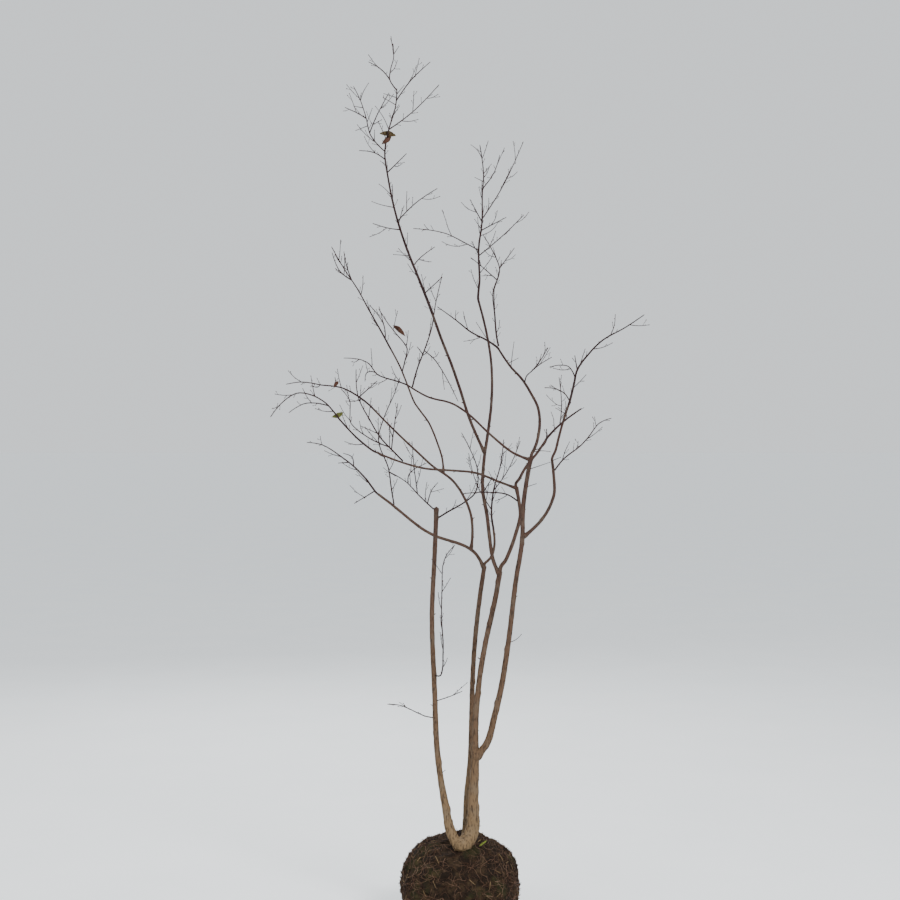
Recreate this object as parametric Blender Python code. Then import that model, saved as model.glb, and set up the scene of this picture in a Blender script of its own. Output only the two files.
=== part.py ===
"""A leafless, many-stemmed blueberry shrub on its root ball, each sub-part an object of its own.

Units are metres, +Z is up, the plant's front faces -Y, and the origin is the middle of the root
ball's flat underside. Every limb and twig is drawn by a few marks, (side, back, height), where the
front view shows it and how far back it lies there. Smooth tapering solids are worked out from them.
"""
import itertools
import math
import random
from collections import namedtuple

import bmesh
import bpy
import numpy as np
from mathutils import Vector, noise

# The point that the front view is seen from: moving a mark back keeps it on its line of sight.
EYE_SIDE = -0.025
EYE_DISTANCE = 3.66
EYE_HEIGHT = 1.18

GAP = 0.0003                # left between two solids that meet
MM = 0.001

BALL_RADIUS = 0.150
BALL_MIDDLE = 0.095         # height of its widest round
BALL_RISE = 0.120           # from there to its top
BALL_DROP = 0.130           # from there down to where it would close, below the flat cut
BALL_LEAN = 0.030           # how far its top lies behind its middle
BALL_LUMP = 0.007
BALL_LUMP_SIZE = 0.070
BALL_FINENESS = 3           # times its round is divided

COLLAR = {"left_stem": 0.072, "middle_stem": 0.080, "back_stem": 0.066}  # of each stem's foot
KNUCKLE = (0.004, -0.066, 0.193)    # the rounded old stump at the collar's front
KNUCKLE_RADIUS = 0.0185
KNUCKLE_FINENESS = 2

LIMB_SIDES = 8
SHOOT_SIDES = 5
TWIG_SIDES = 3
LIMB_STEP = 0.032           # between the rings of a limb
SHOOT_STEP = 0.030
TWIG_STEP = 0.024

LEAD_THICK = (2.6, 1.5)     # a leading shoot, at foot and tip, in millimetres
TWIG_THICK = (1.9, 1.1)
TWIG_EVERY = 0.050          # between the twigs of one shoot
TWIG_ANGLE = 50             # at which a twig leaves its shoot, in degrees
TWIG_RISE = 0.22            # how much each step of a twig turns upwards
TWIG_ROOM = 0.0015          # kept between a twig and all that isn't its own shoot
TWIG_ROOT = 0.009           # of a twig's foot lies too near its own shoot to be tested

Limb = namedtuple("Limb", "name on foot thick marks knob", defaults=(1.0,))
Mass = namedtuple("Mass", "name on foot thick marks leads spread seed", defaults=((), 0.07, 1))

# Limbs. `on` is the limb that each grows from and `foot` the (side, height) there, or None at its
# tip. `thick` is the diameter in millimetres at even shares of the length, and `knob` how much a
# tip swells.
LIMBS = (
    Limb("left_stem", None, None, (24, 15.5, 13.6, 12.6, 12, 11.8), (
        (-0.001, -0.050, 0.186), (-0.019, -0.040, 0.216), (-0.0375, -0.020, 0.296),
        (-0.054, 0.0, 0.399), (-0.064, 0.045, 0.591), (-0.070, 0.085, 0.779),
        (-0.064, 0.105, 0.904), (-0.059, 0.120, 1.034)), 1.2),
    Limb("middle_stem", None, None, (34, 25, 15.8, 13.8, 13.2, 12.8), (
        (0.006, -0.045, 0.189), (0.026, -0.035, 0.216), (0.0325, -0.030, 0.296),
        (0.0375, -0.025, 0.391), (0.040, -0.015, 0.516), (0.049, -0.008, 0.609),
        (0.065, 0.0, 0.704), (0.0875, 0.012, 0.804), (0.100, 0.020, 0.876))),
    Limb("back_stem", None, None, (18, 13.4, 12.8, 12.4, 12, 11.6), (
        (0.009, -0.030, 0.194), (0.014, -0.005, 0.224), (0.016, 0.010, 0.304),
        (0.025, 0.020, 0.399), (0.029, 0.035, 0.516), (0.0325, 0.050, 0.629),
        (0.0425, 0.075, 0.754), (0.061, 0.100, 0.889))),
    Limb("right_stem", "middle_stem", (0.041, 0.411), (18.5, 15, 13, 12, 11.2, 10.5), (
        (0.066, -0.030, 0.444), (0.084, -0.035, 0.504), (0.104, -0.042, 0.591),
        (0.121, -0.050, 0.699), (0.140, -0.058, 0.854), (0.156, -0.062, 0.959),
        (0.1575, -0.060, 1.029), (0.169, -0.055, 1.116), (0.1775, -0.050, 1.161)), 1.3),
    Limb("right_bough", "right_stem", (0.159, 0.961), (8.8, 7.8, 6.8), (
        (0.196, -0.085, 0.996), (0.221, -0.105, 1.031), (0.236, -0.120, 1.074),
        (0.235, -0.130, 1.109), (0.231, -0.140, 1.149))),
    Limb("right_bough_upper", "right_bough", None, (6.4, 5.4), (
        (0.239, -0.148, 1.179), (0.254, -0.162, 1.2375), (0.272, -0.178, 1.294))),
    Limb("inner_bough", "middle_stem", None, (10, 9.2, 8.6), (
        (0.114, 0.022, 0.904), (0.129, 0.024, 0.939), (0.141, 0.026, 0.976),
        (0.151, 0.028, 1.019), (0.1475, 0.032, 1.051), (0.141, 0.040, 1.086)), 1.3),
    Limb("inner_bough_upper", "inner_bough", None, (7.8, 6), (
        (0.149, 0.048, 1.109), (0.166, 0.055, 1.139), (0.194, 0.065, 1.174),
        (0.214, 0.078, 1.204))),
    Limb("long_left_bough", "inner_bough", (0.141, 1.084), (6.2, 5.4, 4.6), (
        (0.089, 0.015, 1.104), (0.046, -0.010, 1.121), (-0.024, -0.050, 1.129),
        (-0.089, -0.090, 1.134), (-0.154, -0.120, 1.152), (-0.209, -0.145, 1.174))),
    Limb("low_left_bough", "back_stem", (0.058, 0.884), (8.5, 7.5, 6.2), (
        (0.039, 0.095, 0.921), (0.014, 0.080, 0.939), (-0.029, 0.055, 0.954),
        (-0.064, 0.030, 0.966), (-0.099, 0.015, 0.986), (-0.131, 0.005, 1.011),
        (-0.171, 0.0, 1.044), (-0.204, 0.0, 1.069))),
    Limb("arching_bough", "low_left_bough", (0.030, 0.935), (7.2, 6.6, 6), (
        (0.031, 0.072, 0.966), (0.0275, 0.055, 1.0165), (0.009, 0.035, 1.064),
        (-0.021, 0.015, 1.106), (-0.056, 0.005, 1.131))),
    Limb("arching_bough_upper", "arching_bough", None, (5.6, 4.4), (
        (-0.104, -0.025, 1.1725), (-0.139, -0.045, 1.205), (-0.179, -0.070, 1.244),
        (-0.219, -0.095, 1.285))),
    Limb("left_leader", "arching_bough", (-0.039, 1.124), (4.8, 4.4, 4), (
        (-0.044, 0.0, 1.156), (-0.056, -0.015, 1.196), (-0.079, -0.030, 1.25),
        (-0.114, -0.045, 1.299), (-0.129, -0.055, 1.336), (-0.149, -0.065, 1.386),
        (-0.174, -0.075, 1.434))),
    Limb("middle_leader", "middle_stem", (0.0975, 0.868), (9.6, 9, 7.8, 6.4, 5.6), (
        (0.084, 0.030, 0.901), (0.075, 0.045, 0.954), (0.0675, 0.060, 1.016),
        (0.057, 0.070, 1.079), (0.060, 0.078, 1.154), (0.070, 0.085, 1.224),
        (0.079, 0.092, 1.304), (0.0775, 0.100, 1.404), (0.064, 0.105, 1.484),
        (0.0475, 0.110, 1.549))),
    Limb("tallest_leader", "middle_leader", (0.0605, 1.172), (7.6, 7.2, 6.6), (
        (0.046, 0.075, 1.206), (0.021, 0.065, 1.266), (0.001, 0.055, 1.329),
        (-0.024, 0.040, 1.401), (-0.044, 0.028, 1.451), (-0.069, 0.015, 1.521))),
    Limb("right_leader", "right_stem", None, (7.8, 7, 6.2, 5.2), (
        (0.191, -0.035, 1.196), (0.1995, -0.010, 1.249), (0.195, 0.015, 1.286),
        (0.179, 0.045, 1.319), (0.156, 0.080, 1.356), (0.126, 0.125, 1.389),
        (0.0975, 0.165, 1.431))),
    Limb("crossing_bough", "right_stem", (0.174, 1.156), (6.2, 5.2, 4.2), (
        (0.131, -0.055, 1.174), (0.096, -0.050, 1.201), (0.061, -0.040, 1.2325),
        (0.026, -0.025, 1.266), (-0.019, 0.0, 1.296), (-0.079, 0.025, 1.3125),
        (-0.126, 0.045, 1.339))),
    Limb("back_bough", "back_stem", None, (7.5, 5.8), (
        (0.079, 0.115, 0.914), (0.086, 0.135, 0.941), (0.084, 0.160, 0.979))),
)

# Masses of bare twigs. Each has one stem, drawn as a limb is, then its leading shoots. A lead is the
# (side, height) of its foot on the shoots before it, and one or more marks up to its tip.
MASSES = (
    Mass("right_tip_twigs", "right_bough_upper", None, (5, 1.8), (
        (0.286, -0.192, 1.349), (0.2925, -0.200, 1.378), (0.321, -0.215, 1.419),
        (0.356, -0.240, 1.454), (0.4125, -0.270, 1.486), (0.459, -0.300, 1.517)), (
        ((0.274, 1.303), (0.262, -0.190, 1.321), (0.214, -0.220, 1.336)),
        ((0.288, 1.36), (0.271, -0.170, 1.389), (0.226, -0.140, 1.388)),
        ((0.2925, 1.379), (0.2875, -0.215, 1.414))), 0.075, 3),
    Mass("right_side_twigs", "right_bough", (0.2345, 1.125), (3.4, 1.7), (
        (0.256, -0.120, 1.154), (0.305, -0.085, 1.194), (0.323, -0.070, 1.2145),
        (0.346, -0.050, 1.245), (0.377, -0.020, 1.259)), (), 0.06, 4),
    Mass("cut_bough_twigs", "inner_bough_upper", None, (5.4, 3.2), (
        (0.226, 0.090, 1.2195), (0.2645, 0.125, 1.2555), (0.303, 0.160, 1.283)), (
        ((0.216, 1.208), (0.217, 0.060, 1.231)),
        ((0.25, 1.242), (0.254, 0.190, 1.30), (0.248, 0.245, 1.36))), 0.09, 5),
    Mass("long_left_twigs", "long_left_bough", None, (4.2, 1.7), (
        (-0.249, -0.160, 1.2025), (-0.299, -0.185, 1.254), (-0.336, -0.205, 1.2975),
        (-0.376, -0.225, 1.319), (-0.406, -0.240, 1.3225), (-0.439, -0.255, 1.304),
        (-0.4725, -0.265, 1.265)), (
        ((-0.332, 1.29), (-0.389, -0.190, 1.296), (-0.426, -0.200, 1.275)),), 0.07, 6),
    Mass("long_left_rising_twigs", "long_left_bough", (-0.136, 1.149), (3.6, 1.7), (
        (-0.169, -0.135, 1.179), (-0.199, -0.145, 1.211), (-0.226, -0.155, 1.256),
        (-0.254, -0.165, 1.311), (-0.260, -0.170, 1.379)), (
        ((-0.170, 1.184), (-0.1625, -0.160, 1.254), (-0.156, -0.175, 1.294)),
        ((-0.181, 1.185), (-0.239, -0.175, 1.2175), (-0.274, -0.195, 1.25),
         (-0.276, -0.205, 1.304), (-0.296, -0.215, 1.331)),
        ((-0.254, 1.311), (-0.209, -0.140, 1.351))), 0.06, 7),
    Mass("low_left_twigs", "low_left_bough", None, (4.4, 1.7), (
        (-0.231, 0.005, 1.1025), (-0.264, 0.015, 1.1375), (-0.301, 0.025, 1.166),
        (-0.344, 0.040, 1.1925), (-0.381, 0.055, 1.199)), (
        ((-0.212, 1.078), (-0.2625, -0.020, 1.0475)),
        ((-0.265, 1.139), (-0.272, 0.030, 1.164), (-0.290, 0.035, 1.171)),
        ((-0.279, 1.1475), (-0.3025, 0.0, 1.1475))), 0.07, 8),
    Mass("low_left_rising_twigs", "low_left_bough", (-0.164, 1.039), (3.2, 1.7), (
        (-0.171, 0.020, 1.079), (-0.179, 0.050, 1.134), (-0.204, 0.080, 1.209),
        (-0.189, 0.095, 1.264), (-0.164, 0.115, 1.321), (-0.151, 0.125, 1.359)), (), 0.07, 9),
    Mass("arching_twigs", "arching_bough_upper", None, (4, 1.7), (
        (-0.256, -0.115, 1.315), (-0.294, -0.130, 1.335), (-0.346, -0.150, 1.3425),
        (-0.399, -0.165, 1.35), (-0.4325, -0.170, 1.345)), (
        ((-0.309, 1.34), (-0.3125, -0.120, 1.36)),), 0.07, 10),
    Mass("left_leader_twigs", "left_leader", None, (3.8, 1.7), (
        (-0.199, -0.085, 1.48), (-0.228, -0.095, 1.531), (-0.256, -0.105, 1.582),
        (-0.2915, -0.115, 1.636), (-0.320, -0.125, 1.686)), (
        ((-0.191, 1.456), (-0.191, -0.060, 1.494), (-0.225, -0.060, 1.541)),
        ((-0.273, 1.604), (-0.285, -0.090, 1.646), (-0.290, -0.080, 1.674)),
        ((-0.272, 1.603), (-0.303, -0.140, 1.631), (-0.319, -0.150, 1.671))), 0.06, 11),
    Mass("left_leader_side_twigs", "left_leader", (-0.144, 1.376), (2.8, 1.7), (
        (-0.1375, -0.090, 1.404), (-0.1325, -0.105, 1.434), (-0.154, -0.120, 1.464),
        (-0.179, -0.130, 1.495), (-0.202, -0.135, 1.531)), (), 0.06, 12),
    Mass("middle_leader_twigs", "middle_leader", None, (5.2, 2), (
        (0.049, 0.112, 1.604), (0.047, 0.115, 1.686), (0.055, 0.120, 1.749),
        (0.056, 0.125, 1.824), (0.059, 0.130, 1.8665), (0.055, 0.132, 1.909),
        (0.050, 0.135, 1.941)), (
        ((0.0575, 1.757), (0.101, 0.140, 1.829), (0.1575, 0.160, 1.949)),
        ((0.047, 1.666), (0.116, 0.080, 1.7245), (0.158, 0.060, 1.7665)),
        ((0.045, 1.68), (0.009, 0.070, 1.70), (-0.034, 0.040, 1.721), (-0.114, 0.020, 1.734)),
        ((0.059, 1.834), (0.0875, 0.170, 1.879), (0.099, 0.190, 1.916)),
        ((0.055, 1.75), (0.026, 0.160, 1.805)),
        ((0.053, 1.73), (0.1135, 0.100, 1.761))), 0.09, 13),
    Mass("tallest_leader_twigs", "tallest_leader", None, (6.2, 2.2), (
        (-0.100, 0.0, 1.601), (-0.132, -0.015, 1.681), (-0.1595, -0.030, 1.766),
        (-0.180, -0.040, 1.862), (-0.188, -0.045, 1.923), (-0.177, -0.050, 1.986),
        (-0.161, -0.055, 2.0405), (-0.158, -0.055, 2.082)), (
        ((-0.158, 2.08), (-0.1755, -0.060, 2.106), (-0.166, -0.060, 2.162),
         (-0.167, -0.060, 2.1925)),
        ((-0.174, 2.104), (-0.201, -0.030, 2.135), (-0.2265, -0.020, 2.15)),
        ((-0.158, 2.054), (-0.123, -0.080, 2.1045), (-0.0765, -0.100, 2.149)),
        ((-0.175, 1.981), (-0.120, -0.020, 2.0245), (-0.054, 0.0, 2.092)),
        ((-0.189, 1.926), (-0.225, -0.070, 1.9705), (-0.2345, -0.090, 2.009),
         (-0.249, -0.100, 2.054), (-0.265, -0.110, 2.087)),
        ((-0.2345, 2.009), (-0.26, -0.060, 2.0245), (-0.2855, -0.050, 2.036)),
        ((-0.223, 1.974), (-0.206, -0.120, 2.021), (-0.179, -0.150, 2.071)),
        ((-0.1515, 1.754), (-0.107, -0.050, 1.801), (-0.059, -0.070, 1.833)),
        ((-0.1755, 1.875), (-0.1355, -0.080, 1.92)),
        ((-0.189, 1.907), (-0.222, 0.0, 1.926), (-0.2505, 0.020, 1.929)),
        ((-0.152, 1.73), (-0.184, -0.060, 1.736), (-0.216, -0.080, 1.746)),
        ((-0.115, 1.642), (-0.096, 0.020, 1.664), (-0.0645, 0.040, 1.687)),
        ((-0.0875, 1.5725), (-0.046, -0.020, 1.611))), 0.085, 14),
    Mass("right_leader_twigs", "right_leader", None, (5, 1.8), (
        (0.076, 0.185, 1.449), (0.026, 0.225, 1.476), (-0.011, 0.260, 1.5055),
        (-0.0555, 0.290, 1.5375)), (), 0.09, 15),
    Mass("right_leader_rising_twigs", "right_leader", (0.100, 1.427), (4.4, 1.8), (
        (0.093, 0.175, 1.456), (0.087, 0.190, 1.518), (0.083, 0.200, 1.575),
        (0.099, 0.210, 1.6325), (0.081, 0.215, 1.679), (0.059, 0.220, 1.716)), (
        ((0.085, 1.608), (0.051, 0.250, 1.642), (0.029, 0.270, 1.66)),
        ((0.099, 1.6345), (0.135, 0.240, 1.684))), 0.09, 16),
    Mass("right_leader_side_twigs", "right_leader", (0.162, 1.348), (2.8, 1.7), (
        (0.166, 0.060, 1.364), (0.181, 0.045, 1.379), (0.201, 0.030, 1.404),
        (0.219, 0.020, 1.434)), (
        ((0.181, 1.38), (0.204, 0.070, 1.397), (0.2275, 0.080, 1.411)),), 0.05, 17),
    Mass("crossing_twigs", "crossing_bough", None, (3.6, 1.6), (
        (-0.164, 0.070, 1.354), (-0.209, 0.095, 1.371), (-0.226, 0.105, 1.394),
        (-0.289, 0.140, 1.41)), (
        ((-0.212, 1.373), (-0.234, 0.120, 1.3725), (-0.2375, 0.130, 1.354)),), 0.07, 18),
    Mass("crossing_rising_twigs", "crossing_bough", (-0.120, 1.334), (3.6, 1.7), (
        (-0.106, 0.065, 1.386), (-0.090, 0.080, 1.4275), (-0.070, 0.100, 1.489),
        (-0.062, 0.115, 1.541), (-0.046, 0.130, 1.611)), (
        ((-0.094, 1.43), (-0.066, 0.100, 1.409), (-0.044, 0.125, 1.3775),
         (-0.006, 0.150, 1.304)),
        ((-0.094, 1.42), (-0.106, 0.050, 1.437))), 0.07, 19),
    Mass("knob_left_twigs", "left_stem", (-0.060, 1.026), (3.4, 1.7), (
        (-0.079, 0.130, 1.044), (-0.106, 0.145, 1.07), (-0.130, 0.160, 1.096),
        (-0.174, 0.185, 1.124)), (
        ((-0.130, 1.096), (-0.1275, 0.190, 1.119), (-0.086, 0.230, 1.146)),
        ((-0.081, 1.046), (-0.071, 0.160, 1.079), (-0.056, 0.190, 1.0975)),
        ((-0.106, 1.07), (-0.115, 0.220, 1.14), (-0.120, 0.285, 1.20))), 0.08, 20),
    Mass("knob_right_twigs", "left_stem", (-0.059, 1.006), (4, 1.7), (
        (-0.031, 0.115, 1.025), (0.011, 0.105, 1.049), (0.036, 0.105, 1.07),
        (0.044, 0.115, 1.129), (0.026, 0.130, 1.18), (0.005, 0.145, 1.221)), (), 0.08, 21),
    Mass("inner_twigs", "inner_bough", (0.1475, 1.05), (3.6, 1.8), (
        (0.124, 0.020, 1.066), (0.071, -0.010, 1.074), (0.009, -0.030, 1.071)), (
        ((0.058, 1.073), (0.081, -0.050, 1.111)),), 0.07, 22),
    Mass("back_twigs", "back_bough", None, (5, 1.8), (
        (0.079, 0.190, 1.016), (0.084, 0.225, 1.079), (0.101, 0.260, 1.141),
        (0.109, 0.290, 1.204)), (
        ((0.080, 1.03), (0.040, 0.250, 1.10), (0.022, 0.290, 1.17)),
        ((0.084, 1.079), (0.120, 0.270, 1.13), (0.150, 0.300, 1.20))), 0.09, 23),
    Mass("left_stem_low_twigs", "left_stem", (-0.060, 0.509), (2.6, 1.6), (
        (-0.086, 0.020, 0.514), (-0.124, 0.010, 0.531), (-0.149, 0.0, 0.541),
        (-0.179, -0.010, 0.544)), (), 0.04, 24),
    Mass("left_stem_right_twigs", "left_stem", (-0.061, 0.551), (2.2, 1.5), (
        (-0.024, 0.020, 0.564), (0.004, 0.0, 0.576)), (), 0.04, 25),
    Mass("left_stem_shoot", "left_stem", (-0.060, 0.616), (3.2, 1.8), (
        (-0.049, 0.030, 0.616), (-0.0425, 0.020, 0.666), (-0.046, 0.022, 0.766),
        (-0.045, 0.026, 0.829), (-0.034, 0.030, 0.9165), (-0.014, 0.034, 0.941)), (), 0.04, 26),
)


def placed(mark):
    """Where a mark of the front view lies in space."""
    side, back, height = mark
    away = 1 + back / EYE_DISTANCE
    return Vector((
        EYE_SIDE + (side - EYE_SIDE) * away,
        back,
        EYE_HEIGHT + (height - EYE_HEIGHT) * away,
    ))


def seen(point):
    """The (side, height) at which the front view shows a point."""
    away = 1 + point.y / EYE_DISTANCE
    return (
        EYE_SIDE + (point.x - EYE_SIDE) / away,
        EYE_HEIGHT + (point.z - EYE_HEIGHT) / away,
    )


class Line:
    """A centre line with a radius at each of its points."""

    def __init__(self, points, radii):
        self.points = points
        self.radii = radii
        chords = [(b - a).length for a, b in zip(points, points[1:])]
        self.marks = [0.0, *itertools.accumulate(chords)]
        self.length = self.marks[-1]

    def at(self, distance):
        """The point and the radius this far along."""
        after = 1
        while after < len(self.points) - 1 and self.marks[after] < distance:
            after += 1
        start, end = self.marks[after - 1], self.marks[after]
        share = (distance - start) / (end - start)
        point = self.points[after - 1].lerp(self.points[after], share)
        radius = self.radii[after - 1] + (self.radii[after] - self.radii[after - 1]) * share
        return point, radius

    def heading(self, distance):
        """The way the line runs this far along."""
        reach = 0.5 * MM
        ahead = self.at(min(distance + reach, self.length))[0]
        return (ahead - self.at(max(distance - reach, 0))[0]).normalized()

    def part(self, start, end):
        """The stretch between two distances."""
        inner = [m for m in self.marks if start + MM < m < end - MM]
        stations = [self.at(distance) for distance in (start, *inner, end)]
        return Line([point for point, _ in stations], [radius for _, radius in stations])

    def nearest(self, foot):
        """How far along the front view shows this (side, height)."""
        steps = np.linspace(0, self.length, max(2, int(self.length / (2 * MM))))
        return min(steps, key=lambda d: math.dist(seen(self.at(d)[0]), foot))


def smooth(marks, step, heading=None):
    """Points no more than a step apart on the smooth curve through the marks, setting out along
    the heading where one is given."""
    chords = [(b - a).length for a, b in zip(marks, marks[1:])]
    slopes = [(b - a) / chord for a, b, chord in zip(marks, marks[1:], chords)]
    turns = [
        (slopes[i] * chords[i + 1] + slopes[i + 1] * chords[i]) / (chords[i] + chords[i + 1])
        for i in range(len(slopes) - 1)
    ]
    first = heading or (1.5 * slopes[0] - 0.5 * turns[0] if turns else slopes[0])
    last = 1.5 * slopes[-1] - 0.5 * turns[-1] if turns else slopes[-1]
    tangents = [first, *turns, last]
    points = []
    for i, chord in enumerate(chords):
        pieces = max(1, math.ceil(chord / step))
        for t in (k / pieces for k in range(pieces)):
            points.append(
                (1 + 2 * t) * (1 - t) ** 2 * marks[i]
                + t * (1 - t) ** 2 * chord * tangents[i]
                + t * t * (3 - 2 * t) * marks[i + 1]
                - t * t * (1 - t) * chord * tangents[i + 1]
            )
    return [*points, marks[-1].copy()]


def tapered(points, thick, knob=1.0):
    """A line through the points, with these diameters in millimetres at even shares of it."""
    line = Line(points, [0.0] * len(points))
    shares = np.linspace(0, 1, len(thick))
    swell = 1.2 * thick[-1] * MM
    for i, distance in enumerate(line.marks):
        radius = 0.5 * MM * float(np.interp(distance / line.length, shares, thick))
        bump = (knob - 1) * math.exp(-(((line.length - distance) / swell) ** 2))
        line.radii[i] = radius * (1 + bump)
    return line


def drawn(row, lines, step):
    """The centre line of a limb, or of a mass's stem. At its parent's tip it carries on from the
    parent a gap away, and elsewhere it starts on the parent's own centre line."""
    marks = [placed(mark) for mark in row.marks]
    heading = None
    if row.on:
        parent = lines[row.on]
        if row.foot:
            start = parent.at(parent.nearest(row.foot))[0]
        else:
            heading = parent.heading(parent.length)
            start = parent.points[-1] + heading * GAP
        marks.insert(0, start)
    points = smooth(marks, step, heading)
    if heading:
        straight = min(row.thick[0] * MM, 0.4 * (points[1] - points[0]).length)
        points.insert(1, points[0] + heading * straight)
    return tapered(points, row.thick, getattr(row, "knob", 1.0))


def clear_start(line, parent, foot):
    """How far along a line its flat foot stands clear of the parent that it leaves."""
    lean = line.heading(0).angle(parent.heading(parent.nearest(foot)))
    lean = min(lean, math.pi - lean)
    own = line.radii[0]
    away = parent.at(parent.nearest(foot))[1] + GAP + own * math.cos(lean)
    return away / math.sin(lean)


class Crowd:
    """The stretches of limb and twig made so far, which a new twig has to keep clear of."""

    def __init__(self):
        self.rows = []

    def add(self, line):
        for a, b, radius in zip(line.points, line.points[1:], line.radii):
            self.rows.append((*a, *b, radius))

    def clears(self, line, after, room):
        """Whether the line, past its foot, has this much room all round it."""
        count = max(2, int((line.length - after) / (3 * MM)))
        probes = np.array([line.at(d)[0] for d in np.linspace(after, line.length, count)])
        rows = np.array(self.rows)
        start, along = rows[:, :3], rows[:, 3:6] - rows[:, :3]
        offset = probes[:, None, :] - start[None]
        share = (offset * along).sum(-1) / (along * along).sum(-1)
        foot = start + np.clip(share, 0, 1)[..., None] * along
        distance = np.linalg.norm(probes[:, None, :] - foot, axis=-1)
        return bool((distance > rows[:, 6] + line.radii[0] + room).all())


def lead_lines(mass, stem):
    """The mass's leading shoots, each starting on the shoots before it."""
    shoots = [stem]
    for foot, *marks in mass.leads:
        parent = min(
            shoots,
            key=lambda line: math.dist(seen(line.at(line.nearest(foot))[0]), foot),
        )
        start = parent.at(parent.nearest(foot))[0]
        points = smooth([start, *map(placed, marks)], SHOOT_STEP)
        shoots.append(tapered(points, LEAD_THICK))
    return shoots


def side_twigs(mass, shoots, crowd):
    """The twigs that a rule adds: they leave each shoot by turns to the back and to the front,
    shorter towards its tip, and turn upwards. One that would touch anything is skipped."""
    dice = random.Random(mass.seed)
    twigs = []
    for shoot in shoots:
        side = dice.choice((-1, 1))
        distance = TWIG_EVERY * dice.uniform(0.5, 1)
        while distance < shoot.length - 0.4 * TWIG_EVERY:
            start, radius = shoot.at(distance)
            along = shoot.heading(distance)
            reach = mass.spread * dice.uniform(0.5, 1) * (1 - 0.5 * distance / shoot.length)
            turn = math.radians(dice.uniform(-55, 55))
            across = along.cross(Vector((1, 0, 0))).normalized()
            other = along.cross(across)
            outwards = side * (math.cos(turn) * across + math.sin(turn) * other)
            lean = math.radians(TWIG_ANGLE * dice.uniform(0.85, 1.15))
            way = math.cos(lean) * along + math.sin(lean) * outwards
            points = [start]
            for _ in range(max(2, round(reach / TWIG_STEP))):
                way = (way + TWIG_RISE * Vector((0, 0, 1))).normalized()
                wander = Vector(dice.uniform(-0.12, 0.12) for _ in range(3))
                points.append(points[-1] + (way + wander).normalized() * TWIG_STEP)
            foot = min(TWIG_THICK[0], 1.5 * radius / MM)
            twig = tapered(points, (foot, TWIG_THICK[1]))
            if crowd.clears(twig, TWIG_ROOT, TWIG_ROOM):
                twigs.append(twig)
                crowd.add(twig)
            side = -side
            distance += TWIG_EVERY * dice.uniform(0.8, 1.2)
    return twigs


def plant_lines():
    """The centre lines of all limbs, and of each mass: its stem, leads and twigs."""
    limbs = {}
    for row in LIMBS:
        limbs[row.name] = drawn(row, limbs, LIMB_STEP)
    crowd = Crowd()
    for line in limbs.values():
        crowd.add(line)
    shoots = {}
    for mass in MASSES:
        stem = drawn(mass, limbs, SHOOT_STEP)
        if mass.foot:
            stem = stem.part(clear_start(stem, limbs[mass.on], mass.foot), stem.length)
        shoots[mass.name] = lead_lines(mass, stem)
        for line in shoots[mass.name]:
            crowd.add(line)
    twigs = {mass.name: side_twigs(mass, shoots[mass.name], crowd) for mass in MASSES}
    return limbs, shoots, twigs


def finish(name, colour, roughness):
    """A plain matt material."""
    material = bpy.data.materials.new(name)
    material.use_nodes = True
    shader = material.node_tree.nodes["Principled BSDF"]
    shader.inputs["Base Color"].default_value = (*colour, 1)
    shader.inputs["Roughness"].default_value = roughness
    shader.inputs["Metallic"].default_value = 0
    return material


def collection(name):
    made = bpy.data.collections.new(name)
    bpy.context.scene.collection.children.link(made)
    return made


def outline(sides, guides):
    """A round of this many sides and radius 1, which the tubes are drawn with."""
    name = f"round_{sides}"
    if name in bpy.data.objects:
        return bpy.data.objects[name]
    data = bpy.data.curves.new(name, "CURVE")
    data.dimensions = "2D"
    spline = data.splines.new("POLY")
    spline.points.add(sides - 1)
    for i, point in enumerate(spline.points):
        angle = math.tau * (i + 0.5) / sides
        point.co = (math.cos(angle), math.sin(angle), 0, 1)
    spline.use_cyclic_u = True
    made = bpy.data.objects.new(name, data)
    made.hide_render = True
    made.display_type = "WIRE"
    guides.objects.link(made)
    return made


def tube_curve(name, line, sides, guides, extra=0.0):
    """A tapering tube along the line, as a curve object with filled caps. `extra` makes it that
    much larger all round, for cutting room in a neighbour."""
    data = bpy.data.curves.new(name, "CURVE")
    data.dimensions = "3D"
    data.bevel_mode = "OBJECT"
    data.bevel_object = outline(sides, guides)
    data.use_fill_caps = True
    points = [point.copy() for point in line.points]
    points[0] -= line.heading(0) * extra
    points[-1] += line.heading(line.length) * extra
    spline = data.splines.new("POLY")
    spline.points.add(len(points) - 1)
    for made, point, radius in zip(spline.points, points, line.radii):
        made.co = (*point, 1)
        made.radius = radius + extra / math.cos(math.pi / sides)
    curve = bpy.data.objects.new(name, data)
    guides.objects.link(curve)
    return curve


def meshed(curves, home):
    """Turns the curves into closed mesh objects in the home collection."""
    graph = bpy.context.evaluated_depsgraph_get()
    made = []
    for curve in curves:
        mesh = bpy.data.meshes.new_from_object(curve.evaluated_get(graph))
        mesh.name = curve.name
        shape = bmesh.new()
        shape.from_mesh(mesh)
        bmesh.ops.remove_doubles(shape, verts=shape.verts, dist=1e-6)
        bmesh.ops.recalc_face_normals(shape, faces=shape.faces)
        shape.to_mesh(mesh)
        shape.free()
        name = curve.name
        data = curve.data
        bpy.data.objects.remove(curve)
        bpy.data.curves.remove(data)
        obj = bpy.data.objects.new(name, mesh)
        home.objects.link(obj)
        made.append(obj)
    return made


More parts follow.
